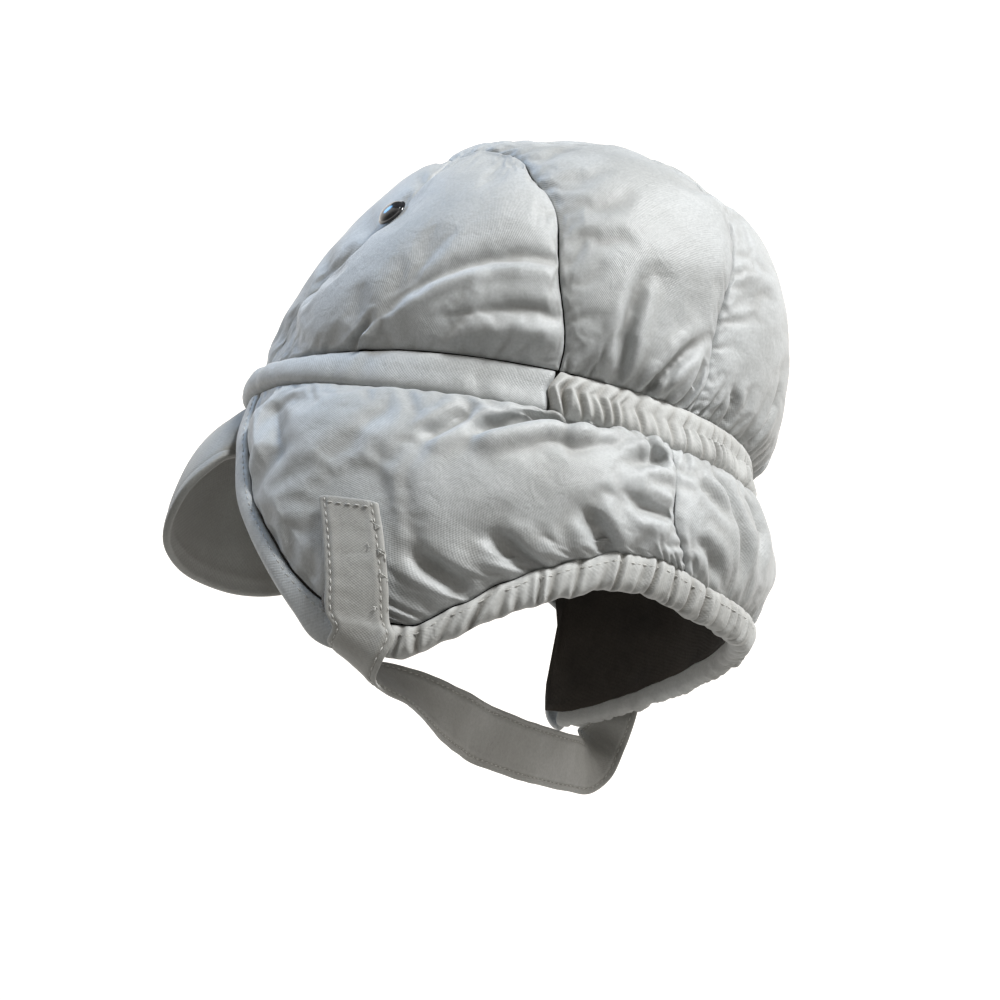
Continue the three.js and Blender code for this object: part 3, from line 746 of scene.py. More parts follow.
def makeLacquer():
    material, tree, shader = newMaterial("blackLacquer")
    place = addNode(tree, "ShaderNodeTexCoord", -900, 0)
    scratch = noiseNode(tree, -700, 0, place.outputs["Object"], {"Scale": 700, "Detail": 6})
    colour = rampNode(tree, -460, 120, scratch,
                      [(0.35, (0.006, 0.006, 0.007)), (0.75, (0.02, 0.02, 0.022))])
    link(tree, colour, shader.inputs["Base Color"])
    rough = mathNode(tree, "MULTIPLY_ADD", -460, -120, scratch, 0.2)
    rough.node.inputs[2].default_value = 0.1
    link(tree, rough, shader.inputs["Roughness"])
    setInputs(shader, {"Coat Weight": 0.6, "Coat Roughness": 0.08})
    return material


blackLacquer = makeLacquer()

threadSettings = {"colour": (0.56, 0.56, 0.53), "shade": (0.36, 0.355, 0.33), "twist": 2600}


def makeThread(s):
    material, tree, shader = newMaterial("sewingThread")
    place = addNode(tree, "ShaderNodeTexCoord", -900, 0)
    twist = noiseNode(tree, -700, 0, place.outputs["Object"], {"Scale": s["twist"]})
    colour = rampNode(tree, -460, 120, twist, [(0.3, s["shade"]), (0.7, s["colour"])])
    link(tree, colour, shader.inputs["Base Color"])
    bumpNode(tree, -300, -200, twist, shader.inputs["Normal"], 0.5, 0.2 * mm)
    setInputs(shader, {"Roughness": 0.7, "Sheen Weight": 0.3})
    return material


sewingThread = makeThread(threadSettings)
print("materials made")

finished = []


def finish(obj, nodes, slotName):
    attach(obj, "root")
    if nodes:
        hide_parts(*nodes)
    finished.append(obj)
    return obj


evenLips = (0.35, 0.35)


def foldList(rows):
    # each fold: its path on the chart, depth and width in mm, how high its left and right lips
    # stand as shares of the depth, and the share of its length over which each end fades
    folds = []
    for path, depth, width, *more in rows:
        lips, fades = (*more, *(evenLips, (0.25, 0.3))[len(more):])
        folds.append({"path": path, "depth": depth, "width": width, "lip": lips, "fade": fades})
    return folds


crownFolds = foldList([
    ([(170, -50), (164, -42), (156, -34)], 3.9, 2.2, (0.2, 0.8), (0.1, 0.5)),
    ([(158, -36), (150, -12), (139, 12), (127, 42), (122, 55)], 1.5, 3.0, (0.1, 1.0), (0.35, 0.2)),
    ([(163, 2), (156, 26), (146, 52), (138, 72)], 1.3, 3.4, (0.3, 0.7), (0.35, 0.2)),
    ([(133, 117), (123, 98), (112, 88), (102, 78)], 3.3, 3.4, (0.5, 0.6), (0.3, 0.6)),
    ([(117, 134), (110, 126), (97, 123), (80, 121)], 3.3, 3, (0.5, 0.5), (0.1, 0.4)),
    ([(92, 150), (85, 139), (77, 127)], 2.8, 2.8, evenLips, (0.1, 0.5)),
    ([(48, 170), (49, 158), (53, 146)], 3.0, 3, evenLips, (0.1, 0.5)),
    ([(-168, -44), (-160, -30), (-150, -14)], 3.0, 3, evenLips, (0.1, 0.5)),
    ([(-160, 0), (-150, 28), (-138, 60)], 2.7, 5, (0.7, 0.3)),
    ([(-132, 118), (-120, 98), (-104, 84)], 4.2, 2.8, evenLips, (0.1, 0.5)),
    ([(-104, 140), (-96, 128), (-84, 120)], 3.0, 3, evenLips, (0.1, 0.5)),
    ([(-60, 165), (-56, 150), (-48, 138)], 3.0, 3, evenLips, (0.1, 0.5)),
    ([(4, 173), (0, 156), (-6, 140)], 3.0, 3.5, evenLips, (0.1, 0.5)),
])
crownSnap = (99, -50)
crownPanelSettings = {
    "cell": 1.7, "crowd": 0.5, "puff": 2.8, "bulge": 1.2, "soft": 5.5, "dip": 1.1, "dipWidth": 1.0,
    "keep": 0.85, "late": 0.75, "soften": True,
    "ripple": 1.1, "wall": 1.2, "folds": crownFolds,
    "dimples": [(crownSnap, 3.2, 6.5), ((-crownSnap[0], crownSnap[1]), 3.2, 6.5)],
    "swells": [((36, 84), 26, 4.8), ((52, -24), 26, 3.4), ((0, -164), 44, 3.6),
               ((88, -72), 26, -1.5), ((58, 134), 42, -5), ((-24, 62), 26, 3.4),
               ((-42, 98), 28, -3.0), ((-52, -24), 26, 2.4), ((-60, 130), 32, -1.5),
               ((0, 140), 46, -3.0), ((-76, 152), 30, 4.5)],
}
gentle = gather(10, 0.55, 7, 1.5)
archGather = gather(4.4, 1.6, 11, 1.0)
footGather = gather(5, 2.4, 20, 1.1)


def sewPanel(node, chart, base, sides, size, gathers, seed, **changes):
    settings = dict(base, size=size, gathers=gathers, **changes)
    panel = buildPanel(f"{node}_padded", chart, sides, settings, shellCloth, seed)
    finish(panel, [node], "shell_cloth")


longSeam = backSeam + topSeam[1:]
sewPanel("crown_front_center", crown, crownPanelSettings, {
    "bottom": crownFoot(-footAngles["snap"], footAngles["snap"]), "right": evenRun(snapSeam),
    "top": evenRun(archTop[::-1]), "left": evenRun(mirrored(snapSeam)),
}, (150, 110), {
    "bottom": gather(6, 0.8, 9, 1.2),
    "top": gentle, "left": gentle, "right": gentle,
}, 11, cell=2.1)
sewPanel("crown_top_back", crown, crownPanelSettings, {
    "bottom": crownFoot(footAngles["back"], 360 - footAngles["back"]),
    "right": evenRun(mirrored(longSeam)), "top": evenRun(archTop), "left": evenRun(longSeam),
}, (115, 215), {
    "bottom": footGather, "left": dict(archGather, spacing=7, reach=14, depth=1.0),
    "right": dict(archGather, spacing=7, reach=14, depth=1.0), "top": archGather,
}, 12)
for word, sign, seed, cell in (("left", 1, 21, 1.7), ("right", -1, 31, 2.4)):
    def own(points, sign=sign):
        return points if sign > 0 else mirrored(points)

    archSplit = 0.66
    archUp = evenRun(own(archSeam), 0, archSplit)
    archOver = evenRun(own(archSeam), 1, archSplit)
    sewPanel(f"crown_front_{word}", crown, crownPanelSettings, {
        "bottom": crownFoot(sign * footAngles["snap"], sign * footAngles["arch"]),
        "right": archUp, "top": archOver, "left": evenRun(own(snapSeam)),
    }, (160, 95), {
        "bottom": gather(6.5, 1.0, 9, 1.3),
        "right": gentle, "top": gentle, "left": gentle,
    }, seed, cell=cell)
    sewPanel(f"crown_side_{word}", crown, crownPanelSettings, {
        "bottom": crownFoot(sign * footAngles["arch"], sign * footAngles["back"]),
        "right": evenRun(own(backSeam)), "top": evenRun(own(topSeam)[::-1]),
        "left": evenRun(own(archSeam)),
    }, (95, 125), {
        "bottom": footGather, "right": dict(archGather, spacing=7, depth=1.0),
        "top": dict(archGather, spacing=7, depth=1.2),
        "left": dict(archGather, zone=(0.45, 1.0)),
    }, seed + 1, cell=cell)
print("crown made")

skirtFolds = foldList([
    ([(104, -25), (108, -22), (116, -14), (127, -8)], 5.8, 2.8, (0.2, 0.7), (0.35, 0.1)),
    ([(120, -17), (126, -12), (134, -7)], 4.1, 2.4, (0.4, 0.5)),
    ([(97, -30), (101, -24), (106, -12)], 3.7, 2.4, (0.3, 0.6)),
    ([(139, -10), (141, -15), (143, -23)], 2.6, 2.6, evenLips, (0.1, 0.5)),
    ([(126, -42), (130, -48), (135, -57)], 3.7, 2.6, evenLips, (0.4, 0.2)),
    ([(112, -57), (118, -63), (126, -70)], 3.7, 2.8, evenLips, (0.4, 0.2)),
    ([(100, -69), (106, -74), (114, -80)], 3.2, 2.8, evenLips, (0.4, 0.2)),
    ([(52, -14), (58, -28), (66, -46)], -1.4, 6, (0.2, 0.2)),
    ([(58, -14), (64, -28), (72, -46)], 2.0, 5, (0.1, 0.1)),
    ([(158, -12), (164, -28), (168, -50)], 3.2, 3, evenLips, (0.2, 0.3)),
    ([(172, -12), (175, -26), (173, -42)], 3.7, 3.5, evenLips, (0.2, 0.4)),
    ([(-104, -22), (-114, -15), (-128, -9)], 4.8, 3, evenLips, (0.3, 0.1)),
    ([(-116, -50), (-122, -62), (-128, -76)], 3.4, 3.5),
    ([(-136, -40), (-140, -52), (-146, -64)], 3.4, 3.0),
    ([(144, -14), (138, -20), (130, -25)], 3.0, 2.4, (0.6, 0.5), (0.1, 0.6)),
    ([(144, -37), (137, -37), (130, -33)], 2.8, 2.4, (0.5, 0.5), (0.1, 0.6)),
    ([(151, -41), (156, -45), (161, -54)], 1.8, 2.4, (0.5, 0.5), (0.1, 0.4)),
    ([(151, -20), (156, -25), (162, -31)], 2.2, 2.4, (0.6, 0.5), (0.1, 0.5)),
    ([(-147, -12), (-140, -22), (-130, -28)], 3.6, 3, evenLips, (0.1, 0.6)),
    ([(212, -20), (206, -28), (200, -40)], 3.6, 3.2, evenLips, (0.1, 0.5)),
    ([(205, -14), (198, -32), (194, -52)], 4.5, 4),
])
flapSnaps = [(91.5, -90), (-103, -88)]
# tabs of the strap, sewn on the flaps: middle line in degrees and mm
strapLeftTab = [(88.3, -55), (91.5, -68), (94.8, -83), (97, -95)]
strapRightTab = [(-115, -97), (-114, -84), (-113, -70), (-112, -55)]
flapPanelSettings = {
    "cell": 1.7, "crowd": 0.5, "puff": 2.6, "bulge": 3.6, "soft": 5, "dip": 0.8, "dipWidth": 1.0,
    "keep": 0.85, "late": 0.7, "soften": True,
    "ripple": 0.8, "wall": 1.2, "folds": skirtFolds,
    "dimples": [(flapSnaps[0], 4.0, 6.5), (flapSnaps[1], 4.0, 6.5)],
    "pressed": [(strapLeftTab, 12.5, 5.0), (strapRightTab, 12.5, 5.0)],
}


def napeSeam(sign):
    foot = hemSpan(sign * napeSeamRows[-1][0])[1]
    stretch = foot / napeSeamRows[-1][1]
    rows = [(sign * a, h if k == 0 else h * stretch) for k, (a, h) in enumerate(napeSeamRows)]
    return rows[::-1]


def hemTop(angle):
    return hemSpan(angle)[1] - 1.1


def bandFoot(angle):
    return -halfBand(angle)


for word, sign, edge, facing, seed, cell in (("left", 1, leftEdge, leftFacing, 41, 1.7),
                                             ("right", -1, rightEdge, rightFacing, 51, 2.4)):
    rear = napeSeam(sign)
    sewPanel(f"ear_flap_{word}", skirt, flapPanelSettings, {
        "bottom": skirtLine(facing[-1][0], rear[0][0], hemTop), "right": evenRun(rear),
        "top": skirtLine(facing[0][0], rear[-1][0], bandFoot), "left": evenRun(facing[::-1]),
    }, (170, 85), {
        "top": gather(5, 2.2, 17, 1.1, zone=(0.45, 1.0)),
        "bottom": gather(4.6, 2.0, 14, 1.0),
        "right": gather(5.5, 1.2, 15, 1.2),
        "left": gather(11, 0.5, 8, 1.6),
    }, seed, cell=cell)
    sewPanel(f"face_facing_{word}", skirt, flapPanelSettings, {
        "bottom": evenRun([edge[-1], facing[-1]]), "right": evenRun(facing[::-1]),
        "top": evenRun([edge[0], facing[0]]), "left": evenRun(edge[::-1]),
    }, (9, 130), {
        "right": gather(6, 0.4, 5, 1.2),
    }, seed + 1, puff=1.5, bulge=0.4, soft=1.4, dip=0.7, dipWidth=0.8, cell=1.2, crowd=0.3,
        ripple=0.7, wall=3.8, folds=[], late=0, soften=False)
leftRear = napeSeam(1)
rightRear = [(a + 360, h) for a, h in napeSeam(-1)]
sewPanel("nape_panel", skirt, flapPanelSettings, {
    "bottom": skirtLine(leftRear[0][0], rightRear[0][0], hemTop), "right": evenRun(rightRear),
    "top": skirtLine(leftRear[-1][0], rightRear[-1][0], bandFoot), "left": evenRun(leftRear),
}, (115, 48), {
    "top": gather(5, 2.4, 18, 1.1),
    "bottom": gather(4.6, 2.2, 16, 1.0),
    "left": gather(6, 1.2, 15, 1.2),
    "right": gather(6, 1.2, 15, 1.2),
}, 61, puff=1.5, bulge=0.2)
print("flaps and nape made")
simulatePanels(simSettings)


def buildCasing(name, s, material, seed):
    rng = random.Random(seed)
    start, end = s["angles"]
    grooves = makePuckers(s["length"], s["grooves"], rng)
    upper = makePuckers(s["length"], s["upper"], rng)
    lower = makePuckers(s["length"], s["lower"], rng)

    def place(u, w):
        angle = start + (end - start) * u
        low, high = s["span"](angle)
        middle, half = (low + high) / 2, (high - low) / 2
        turn = 2 * math.pi * w - math.pi / 2
        side, out = math.sin(turn), math.cos(turn)
        along = u * s["length"]
        outside = max(out, 0) ** 0.5
        tall = 2 * half
        upto = (side + 1) * half
        marks = puckerRise(grooves, along, upto) + puckerRise(upper, along, tall - upto)
        marks += puckerRise(lower, along, upto)
        rise = s["centre"] + (s["proud"] if out > 0 else s["deep"]) * math.copysign(abs(out) ** 0.75, out)
        level = skirtPoint(angle, middle)
        rise += (marks + s["ripple"] * ripple(level, 9, seed)) * outside
        rise += s["frontSwell"] * (1 - ramp(abs(angle), 30, 85)) * outside
        height = middle + half * math.copysign(abs(side) ** 0.85, side)
        height += s["frill"] * ripple(level, 4.5, seed + 3) * (1 if side < 0 else 0.3) * abs(side)
        # the second value darkens the colour in the grooves: painted shade
        return lifted(skirt, angle, height, rise), clamp(-marks / 2.2) * outside

    across = int(s["length"] / s["cell"])
    return buildTube(name, across, s["around"], place, material, (s["length"], 2 * s["around"]))


joint = 0.15                   # degrees left free at each end of a band
cover = 1.4                    # how far a roll reaches over its neighbours' edges, mm
coverFront = 1.6               # how much more at the front of the crown, mm


def bandSpan(angle):
    top = halfBand(angle) + cover + coverFront * (1 - ramp(abs(angle), 35, 80))
    return -halfBand(angle) - cover, top


def hemRoll(angle):
    low, high = hemSpan(angle)
    return low, high + cover


bandFrontSettings = {
    "angles": (joint - footAngles["arch"], footAngles["arch"] - joint), "length": 395, "cell": 1.6,
    "around": 22, "span": bandSpan, "centre": -1.8, "proud": 4.4, "deep": 2.4, "ripple": 0.5,
    "frill": 0.3,
    "frontSwell": 3.4, "grooves": gather(26, 0.45, 40, 1.8),
    "upper": gather(4.4, 0.55, 6, 0.9),
    "lower": gather(6.5, 0.35, 5, 1.0),
}
bandBackSettings = dict(
    bandFrontSettings, angles=(footAngles["arch"] + joint, 360 - footAngles["arch"] - joint),
    length=215, cell=0.65, ripple=1.4, frill=1.1, proud=6.8, centre=-1.4,
    grooves=gather(5.0, 3.4, 44, 0.85, lean=0.12, even=0.7),
    upper=gather(4.2, 0.7, 5, 0.8),
    lower=gather(4.4, 0.7, 5, 0.8))
hemSettings = {
    "angles": (hemEnds, 360 - hemEndRight), "length": 326, "cell": 0.75, "around": 26, "span": hemRoll,
    "centre": -1.2, "proud": 4.3, "deep": 4.6, "ripple": 1.0, "frill": 1.2, "frontSwell": 0,
    "grooves": gather(5.8, 3.2, 36, 0.85, lean=0.3, even=0.7),
    "upper": gather(4.0, 1.2, 6, 0.8),
    "lower": gather(4.4, 1.1, 6, 0.9),
}
for node, ending, settings, material, slotName, seed in (
        ("head_band_front", "padded", bandFrontSettings, shellCloth, "shell_cloth", 71),
        ("head_band_back", "gathered", bandBackSettings, gatheredCloth, "gathered_cloth", 72),
        ("hem_casing", "gathered", hemSettings, gatheredCloth, "gathered_cloth", 73)):
    finish(buildCasing(f"{node}_{ending}", settings, material, seed), [node], slotName)
print("casings made")

liningSettings = {"depth": 5.0, "around": 150, "down": 76, "crownShare": 0.6, "wrinkle": 1.3}


def edgeHeight(angle):
    # lowest height of the lining at an angle from the front
    turn = (angle + 180) % 360 - 180
    if abs(turn) >= hemEnds:
        low, high = hemSpan(turn)
        return (low + high) / 2
    rows = leftEdge if turn >= 0 else [(-a, h) for a, h in rightEdge]
    away = abs(turn)
    if away <= rows[0][0]:
        return -3.0
    for (a, h), (b, k) in zip(rows, rows[1:]):
        if away <= b:
            return h + (k - h) * (away - a) / max(b - a, 1e-6) + 3
    return rows[-1][1] + 3


def buildLining(s):
    bm = bmesh.new()
    coordinates, creases = {}, {}
    for vert, u, v in shareGrid(bm, s["around"], s["down"]):
        angle = 360 * u
        if v < s["crownShare"]:
            reach = flatRadius * v / s["crownShare"]
            turn = math.radians(angle)
            chart, a, b = crown, reach * math.sin(turn), -reach * math.cos(turn)
        else:
            share = (v - s["crownShare"]) / (1 - s["crownShare"])
            chart, a, b = skirt, angle, bandHalf + (edgeHeight(angle) - bandHalf) * share
        level = chart["at"](a, b)
        fold = s["wrinkle"] * ripple(level, 16, 5) + 0.6 * ripple(level, 7, 9)
        vert.co = lifted(chart, a, b, -s["depth"] - 0.6 + 0.5 * fold)
        coordinates[vert] = (36 * u, 24 * v)
        # the colour darkens in the hollows of the wrinkles: painted shade
        creases[vert] = clamp(-fold)
    addCoordinates(bm, coordinates, creases)
    closeUp(bm)
    lining = newObject("lining_cloth", bm, liningCloth)
    dress(lining, 0.8 * mm, 0)
    return lining


lining = buildLining(liningSettings)
finish(lining, ["lining"], "lining")
print("lining made")

visorRim = [(0, -119.5, -79.8), (23, -117.5, -78.5), (43, -112.5, -73.5), (57, -103.8, -64.5),
            (63.5, -93, -50), (59, -82.5, -33.5), (49, -75, -19)]
visorSettings = {"angle": 42.6, "height": -4.8, "depth": 1, "sideDepth": 8.6, "bow": 14,
                 "across": 52, "out": 30, "thickness": 3.2, "puff": 0.5}
rimRun = evenRun([(-x, y, z) for x, y, z in visorRim[:0:-1]] + visorRim)


def visorPoint(s, u, v):
    angle = s["angle"] * (2 * u - 1)
    depth = s["depth"] + (s["sideDepth"] - s["depth"]) * ramp(abs(angle), 14, 29)
    root = lifted(skirt, angle, s["height"], -depth) / mm
    rim = Vector(rimRun(u))
    bow = s["bow"] * math.sin(math.pi * v) * math.sin(math.pi * u)
    return (root.lerp(rim, v) + Vector((0, -0.8, 0.6)) * bow) * mm


def buildVisor(s):
    bm = bmesh.new()
    coordinates, creases = {}, {}
    for vert, gridU, gridV in shareGrid(bm, s["across"], s["out"]):
        u = 0.01 + 0.98 * crowded(gridU, 0.4)
        v = crowded(gridV, 0.4)
        here = visorPoint(s, u, v)
        step = 0.01
        along = visorPoint(s, min(u + step, 1), v) - visorPoint(s, max(u - step, 0), v)
        outwards = visorPoint(s, u, v + step) - visorPoint(s, u, v - step)
        normal = outwards.cross(along).normalized()
        if normal.y > 0:
            normal.negate()
        edge = min(1 - v, u, 1 - u) * 60
        puff = s["puff"] * (1 - math.exp(-edge / 3)) + 0.5 * ripple(here, 22, 3)
        sewn = bell(edge - 5.5, 0.9)
        puff -= 0.45 * sewn
        vert.co = here + normal * ((s["thickness"] / 2 + puff) * mm)
        coordinates[vert] = (14 * u, 7 * v)
        # the colour darkens along the sewn groove: painted shade
        creases[vert] = 0.5 * sewn
    addCoordinates(bm, coordinates, creases)
    if sum(face.normal.y for face in bm.faces) > 0:
        bmesh.ops.reverse_faces(bm, faces=bm.faces[:])
    visor = newObject("visor_padded", bm, visorShadeCloth)
    dress(visor, s["thickness"] * mm)
    return visor


visor = finish(buildVisor(visorSettings), ["visor"], "shell_cloth")
print("visor made")

# Strap: one run with a tab sewn on each flap; its middle line in mm and its width direction
strapSettings = {
    "width": 25, "thickness": 1.8, "proud": 7.3, "along": 230, "around": 48,
    "stitchInset": 2.6, "pucker": 0.22, "lengthSteps": 300,
}
strapFreeRun = [
    (98.6, 18.5, -101, 0, -1, 0), (96.3, 15.5, -107.5, -0.1, -1, 0.2),
    (89, 12, -111, -0.1, -0.9, 0.42), (79, 12.5, -112.3, 0, -0.88, 0.5),
    (67, 14.5, -113.3, 0, -0.86, 0.54), (54, 16.8, -114.2, 0, -0.72, 0.7),
    (41, 18.8, -115.4, 0, -0.52, 0.85), (28, 20.6, -117, 0, -0.3, 0.95), (14, 22.5, -119, 0, -0.1, 1),
    (1, 25, -120.8, 0, 0.05, 1), (-12, 28, -122, 0, 0, 1), (-43, 36.5, -123, 0, 0, 1),
    (-68, 43, -122.5, 0, 0, 1), (-84, 44.5, -121.8, 0.1, -0.35, 0.93),
    (-95, 44, -116, 0.1, -0.75, 0.65), (-101, 43.5, -107.5, 0, -0.97, 0.25),
]


def strapRows(s):
    rows = []
    for sign, tab in ((1, strapLeftTab), (-1, strapRightTab)):
        if sign < 0:
            rows += [(x, y, z, *Vector((a, b, c)).normalized()) for x, y, z, a, b, c in strapFreeRun]
        for angle, height in tab:
            here = lifted(skirt, angle, height, s["proud"]) / mm
            across = skirtPoint(angle - sign, height) - skirtPoint(angle, height)
            rows.append((*here, *across.normalized()))
    return rows


strapRun = evenRun(strapRows(strapSettings), steps=900)


def strapFrame(share):
    step = 0.002
    here = strapRun(share)
    ahead, behind = strapRun(min(share + step, 1)), strapRun(max(share - step, 0))
    middle = Vector(here[:3])
    tangent = (Vector(ahead[:3]) - Vector(behind[:3])).normalized()
    across = Vector(here[3:]).normalized()
    return middle, across, tangent.cross(across).normalized()


def strapSurface(s, share, place, side, length):
    # place -1 to 1 across the strap, side 1 or -1 for its two faces
    middle, across, out = strapFrame(share)
    half = s["width"] / 2
    inset = half * (1 - abs(place)) - s["stitchInset"]
    thick = s["thickness"] / 2 * (1 - abs(place) ** 8) ** 0.5
    along = share * length
    crinkle = ripple(Vector((along, place * 4, 0)) * mm, 4.2, 2) * s["pucker"]
    dip = 0.42 * bell(inset, 0.6)
    bulge = 0.22 * bell(inset - 1.6, 1.3)
    swell = 0.5 * ripple(Vector((along, place * 9, 7)) * mm, 17, 8)
    edge = 0.35 * ripple(Vector((along, place, 3)) * mm, 9, 4) * abs(place)
    lift = side * (thick + (bulge - dip + crinkle) * (1 - abs(place) ** 8)) + swell
    # the second value darkens the colour in the stitch grooves: painted shade
    return (middle + across * (half * place + edge) + out * lift) * mm, dip * 2


def buildStrap(s):
    steps = s["lengthSteps"]
    length = sum(math.dist(strapRun(k / steps)[:3], strapRun((k + 1) / steps)[:3])
                 for k in range(steps))

    def place(u, w):
        side = 1 if w < 0.5 else -1
        turn = w * 2 if side > 0 else 2 - w * 2
        return strapSurface(s, u, math.sin(math.pi * (turn - 0.5)), side, length)

    strap = buildTube("chin_strap_cloth", s["along"], s["around"], place, strapCloth,
                      (length, 2 * s["width"]))
    print("strap length, mm", round(length, 1))
    return strap, length


strap, strapLength = buildStrap(strapSettings)
finish(strap, ["chin_strap"], "shell_cloth")
print("strap made")

snapProfile = [(0, -1.2), (4.4, -1.2), (6.6, -0.2), (6.8, 0.25), (6.5, 0.7), (6.0, 0.9), (5.75, 1.0),
               (5.6, 1.4), (4.9, 2.1), (3.6, 2.8), (1.9, 3.2), (0, 3.3)]


def turnedProfile(profile, steps):
    # rows of radius and height in m, turned once round the upright axis
    bm = bmesh.new()
    rows = [bm.verts.new((radius, 0, height)) for radius, height in profile]
    edges = [bm.edges.new(pair) for pair in zip(rows, rows[1:])]
    bmesh.ops.spin(bm, geom=rows + edges, cent=(0, 0, 0), axis=(0, 0, 1), steps=steps,
                   angle=2 * math.pi, use_merge=True)
    closeUp(bm)
    return bm


def outwards(chart, a, b):
    return (lifted(chart, a, b, 1) - lifted(chart, a, b, 0)).normalized()


def buildSnap(name, chart, at, seat):
    bm = turnedProfile([(radius * mm, height * mm) for radius, height in snapProfile], 40)
    turn = outwards(chart, *at).to_track_quat("Z", "Y").to_matrix().to_4x4()
    place = Matrix.Translation(lifted(chart, *at, seat))
    bmesh.ops.transform(bm, matrix=place @ turn, verts=bm.verts[:])
    snap = newObject(f"{name}_dome", bm, blackLacquer)
    subdivide(snap)
    return finish(snap, [name], "snap")


buildSnap("crown_snap_left", crown, crownSnap, 2.4)
buildSnap("crown_snap_right", crown, (-crownSnap[0], crownSnap[1]), 2.4)
buildSnap("flap_snap_left", skirt, flapSnaps[0], 1.9)
buildSnap("flap_snap_right", skirt, flapSnaps[1], 1.9)
print("snaps made")

# Stitches: short raised dashes of thread
stitchSettings = {
    "pitch": 3.1, "dash": 0.66, "radius": 0.26, "lift": 0.02, "probe": 14, "strapLift": 0.22,
    "facingLength": 128, "hemLength": 326, "hemPitch": 2.6, "hemInset": 2.2, "endLength": 18,
    "looseEnds": 9, "looseDashes": 6, "looseRadius": 0.24,
}


def addDash(bm, first, second, radius):
    along = second - first
    if along.length < 1e-5:
        return
    turn = along.to_track_quat("X", "Z").to_matrix().to_4x4()
    size = Matrix.Diagonal((along.length / 2 + radius * 0.5, radius, radius, 1))
    bmesh.ops.create_icosphere(bm, subdivisions=1, radius=1,
                               matrix=Matrix.Translation((first + second) / 2) @ turn @ size)


def sewRow(bm, s, length, surface, rng):
    # surface(share) gives a point on the cloth, or nothing
    count = max(int(length / s["pitch"]), 1)
    for k in range(count):
        middle = (k + 0.5 + rng.uniform(-0.06, 0.06)) / count
        half = s["dash"] / 2 / count
        first, second = surface(middle - half), surface(middle + half)
        if first and second:
            addDash(bm, first, second, s["radius"] * mm)


def onCloth(targets, s, chart, run):
    # a point of a run in chart coordinates, dropped onto the cloth
    deps = bpy.context.evaluated_depsgraph_get()
    trees = [BVHTree.FromObject(obj, deps) for obj in targets]

    def surface(share):
        a, b = run(clamp(share))
        outside, inside = lifted(chart, a, b, s["probe"]), lifted(chart, a, b, 0)
        down = (inside - outside).normalized()
        hits = [tree.ray_cast(outside, down, 2 * s["probe"] * mm) for tree in trees]
        hits = [hit for hit in hits if hit[0] is not None]
        if not hits:
            return None
        hit = min(hits, key=lambda found: found[3])
        return hit[0] - down * (s["lift"] * mm)
    return surface


def between(first, second, share):
    def run(t):
        p, q = first(t), second(t)
        return tuple(x + (y - x) * share for x, y in zip(p, q))
    return run


def hemPlace(share, fromTop):
    angle = hemEnds + 1 + (358 - hemEndRight - hemEnds) * share
    return angle, hemSpan(angle)[1] + fromTop


def onStrap(s, share, place, side):
    # a point just above one face of the strap
    here = strapSurface(strapSettings, share, place, side, strapLength)[0]
    return here + strapFrame(share)[2] * (s["strapLift"] * side * mm)


def buildStitches(s):
    rng = random.Random(91)
    bm = bmesh.new()
    parts = {obj.name: obj for obj in finished}
    for word, edge, facing in (("left", leftEdge, leftFacing), ("right", rightEdge, rightFacing)):
        target = [parts[f"face_facing_{word}_padded"]]
        row = between(evenRun(facing), evenRun(edge), 0.22)
        sewRow(bm, s, s["facingLength"], onCloth(target, s, skirt, row), rng)
    hem = onCloth([parts["hem_casing_gathered"]], s, skirt, lambda t: hemPlace(t, -s["hemInset"]))
    sewRow(bm, dict(s, pitch=s["hemPitch"]), s["hemLength"], hem, rng)
    for share in (-1, 1):
        for side in (1, -1):
            place = share * (1 - 2 * strapSettings["stitchInset"] / strapSettings["width"])
            sewRow(bm, s, strapLength, lambda t, place=place, side=side: onStrap(
                s, clamp(t, 0.004, 0.996), place, side), rng)
    for end in (0.009, 0.991):
        sewRow(bm, s, s["endLength"], lambda t, end=end: onStrap(s, end, 1.5 * t - 0.75, -1), rng)
    # loose ends at the upper corner of the left tab
    for k in range(s["looseEnds"]):
        share, place = rng.uniform(0.01, 0.13), rng.uniform(-0.98, -0.55)
        heading = rng.uniform(0, 6.28)
        before = None
        for step in range(s["looseDashes"]):
            here = strapSurface(strapSettings, share, place, -1, strapLength)[0]
            here -= strapFrame(share)[2] * (0.35 + 0.4 * math.sin(step * 1.2 + k)) * mm
            if before is not None:
                addDash(bm, before, here, s["looseRadius"] * mm)
            before = here
            heading += rng.uniform(-0.9, 0.9)
            share = clamp(share + 0.0026 * math.cos(heading), 0.004, 0.12)
            place = clamp(place + 0.07 * math.sin(heading), -1, -0.5)
    stitches = newObject("stitches", bm, sewingThread)
    return finish(stitches, [], "shell_cloth")


buildStitches(stitchSettings)
print("stitches made")

# Stage: a pale bowl, so no horizon shows from any side
stageSettings = {
    "floor": -0.55, "flat": 1.6, "wall": 2.6, "top": 2.8, "near": 0.04, "far": 1.2,
    "pale": (0.2, 0.195, 0.185),
}


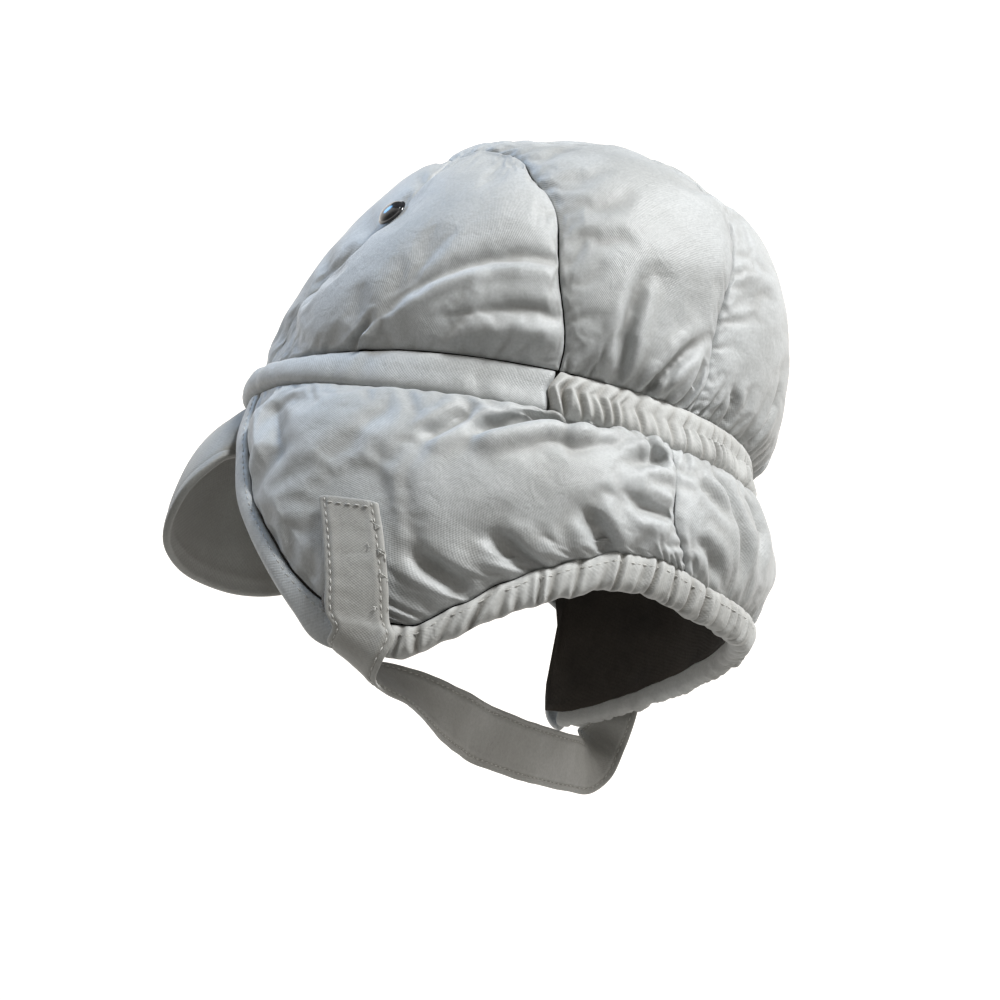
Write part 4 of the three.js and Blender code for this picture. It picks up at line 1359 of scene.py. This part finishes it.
def buildStage(s):
    curve = 14
    bend = s["wall"] - s["flat"]
    profile = [(0, s["floor"]), (s["flat"] * 0.5, s["floor"])]
    for k in range(curve + 1):
        turn = math.pi / 2 * k / curve
        profile.append((s["flat"] + bend * math.sin(turn), s["floor"] + bend * (1 - math.cos(turn))))
    profile.append((s["wall"], s["top"]))
    bm = turnedProfile(profile, 64)
    material, tree, shader = newMaterial("paleStage")
    setInputs(shader, {"Base Color": (*s["pale"], 1), "Roughness": 0.9, "Specular IOR Level": 0.1,
                       "Emission Color": (1, 0.965, 0.925, 1)})
    # brighter on the side away from the key light
    place = addNode(tree, "ShaderNodeTexCoord", -900, 0)
    towards = addNode(tree, "ShaderNodeVectorMath", -700, 0, operation="DOT_PRODUCT")
    link(tree, place.outputs["Object"], towards.inputs[0])
    towards.inputs[1].default_value = Vector((0, 0, 0.9)) - viewBack
    glow = addNode(tree, "ShaderNodeMapRange", -460, 0, interpolation_type="SMOOTHSTEP")
    setInputs(glow, {"From Min": -1.5, "From Max": 1.8, "To Min": s["near"], "To Max": s["far"]})
    link(tree, towards.outputs["Value"], glow.inputs["Value"])
    link(tree, glow.outputs["Result"], shader.inputs["Emission Strength"])
    floor = newObject("pale_stage", bm, material)


buildStage(stageSettings)


def areaLight(name, place, target, size, power, colour):
    data = bpy.data.lights.new(name, "AREA")
    data.shape = "DISK"
    data.size = size
    data.energy = power
    data.color = colour
    lamp = bpy.data.objects.new(name, data)
    lamp.location = place
    lamp.rotation_euler = (Vector(target) - Vector(place)).to_track_quat("-Z", "Y").to_euler()
    bpy.context.scene.collection.objects.link(lamp)


areaLight("key", viewBack * 0.8 + viewRight * 0.4 + Vector((0, 0, 1.15)), (0, 0, -0.02), 0.34, 26,
          (0.98, 0.99, 1.0))
areaLight("front", (0.3, -1.35, 1.15), (0, 0, 0), 0.7, 9, (0.18, 0.52, 1.0))
areaLight("rear", viewBack * 0.9 + viewRight * 1.1 + Vector((0, 0, -0.3)), (0, 0, -0.08), 0.4, 2.2,
          (1.0, 0.97, 0.93))
world = bpy.data.worlds.new("studio")
world.use_nodes = True
setInputs(world.node_tree.nodes["Background"], {"Color": (0.92, 0.96, 1.0, 1), "Strength": 0.12})
bpy.context.scene.world = world
bpy.context.scene.view_settings.view_transform = "Standard"
print("stage and lights made")
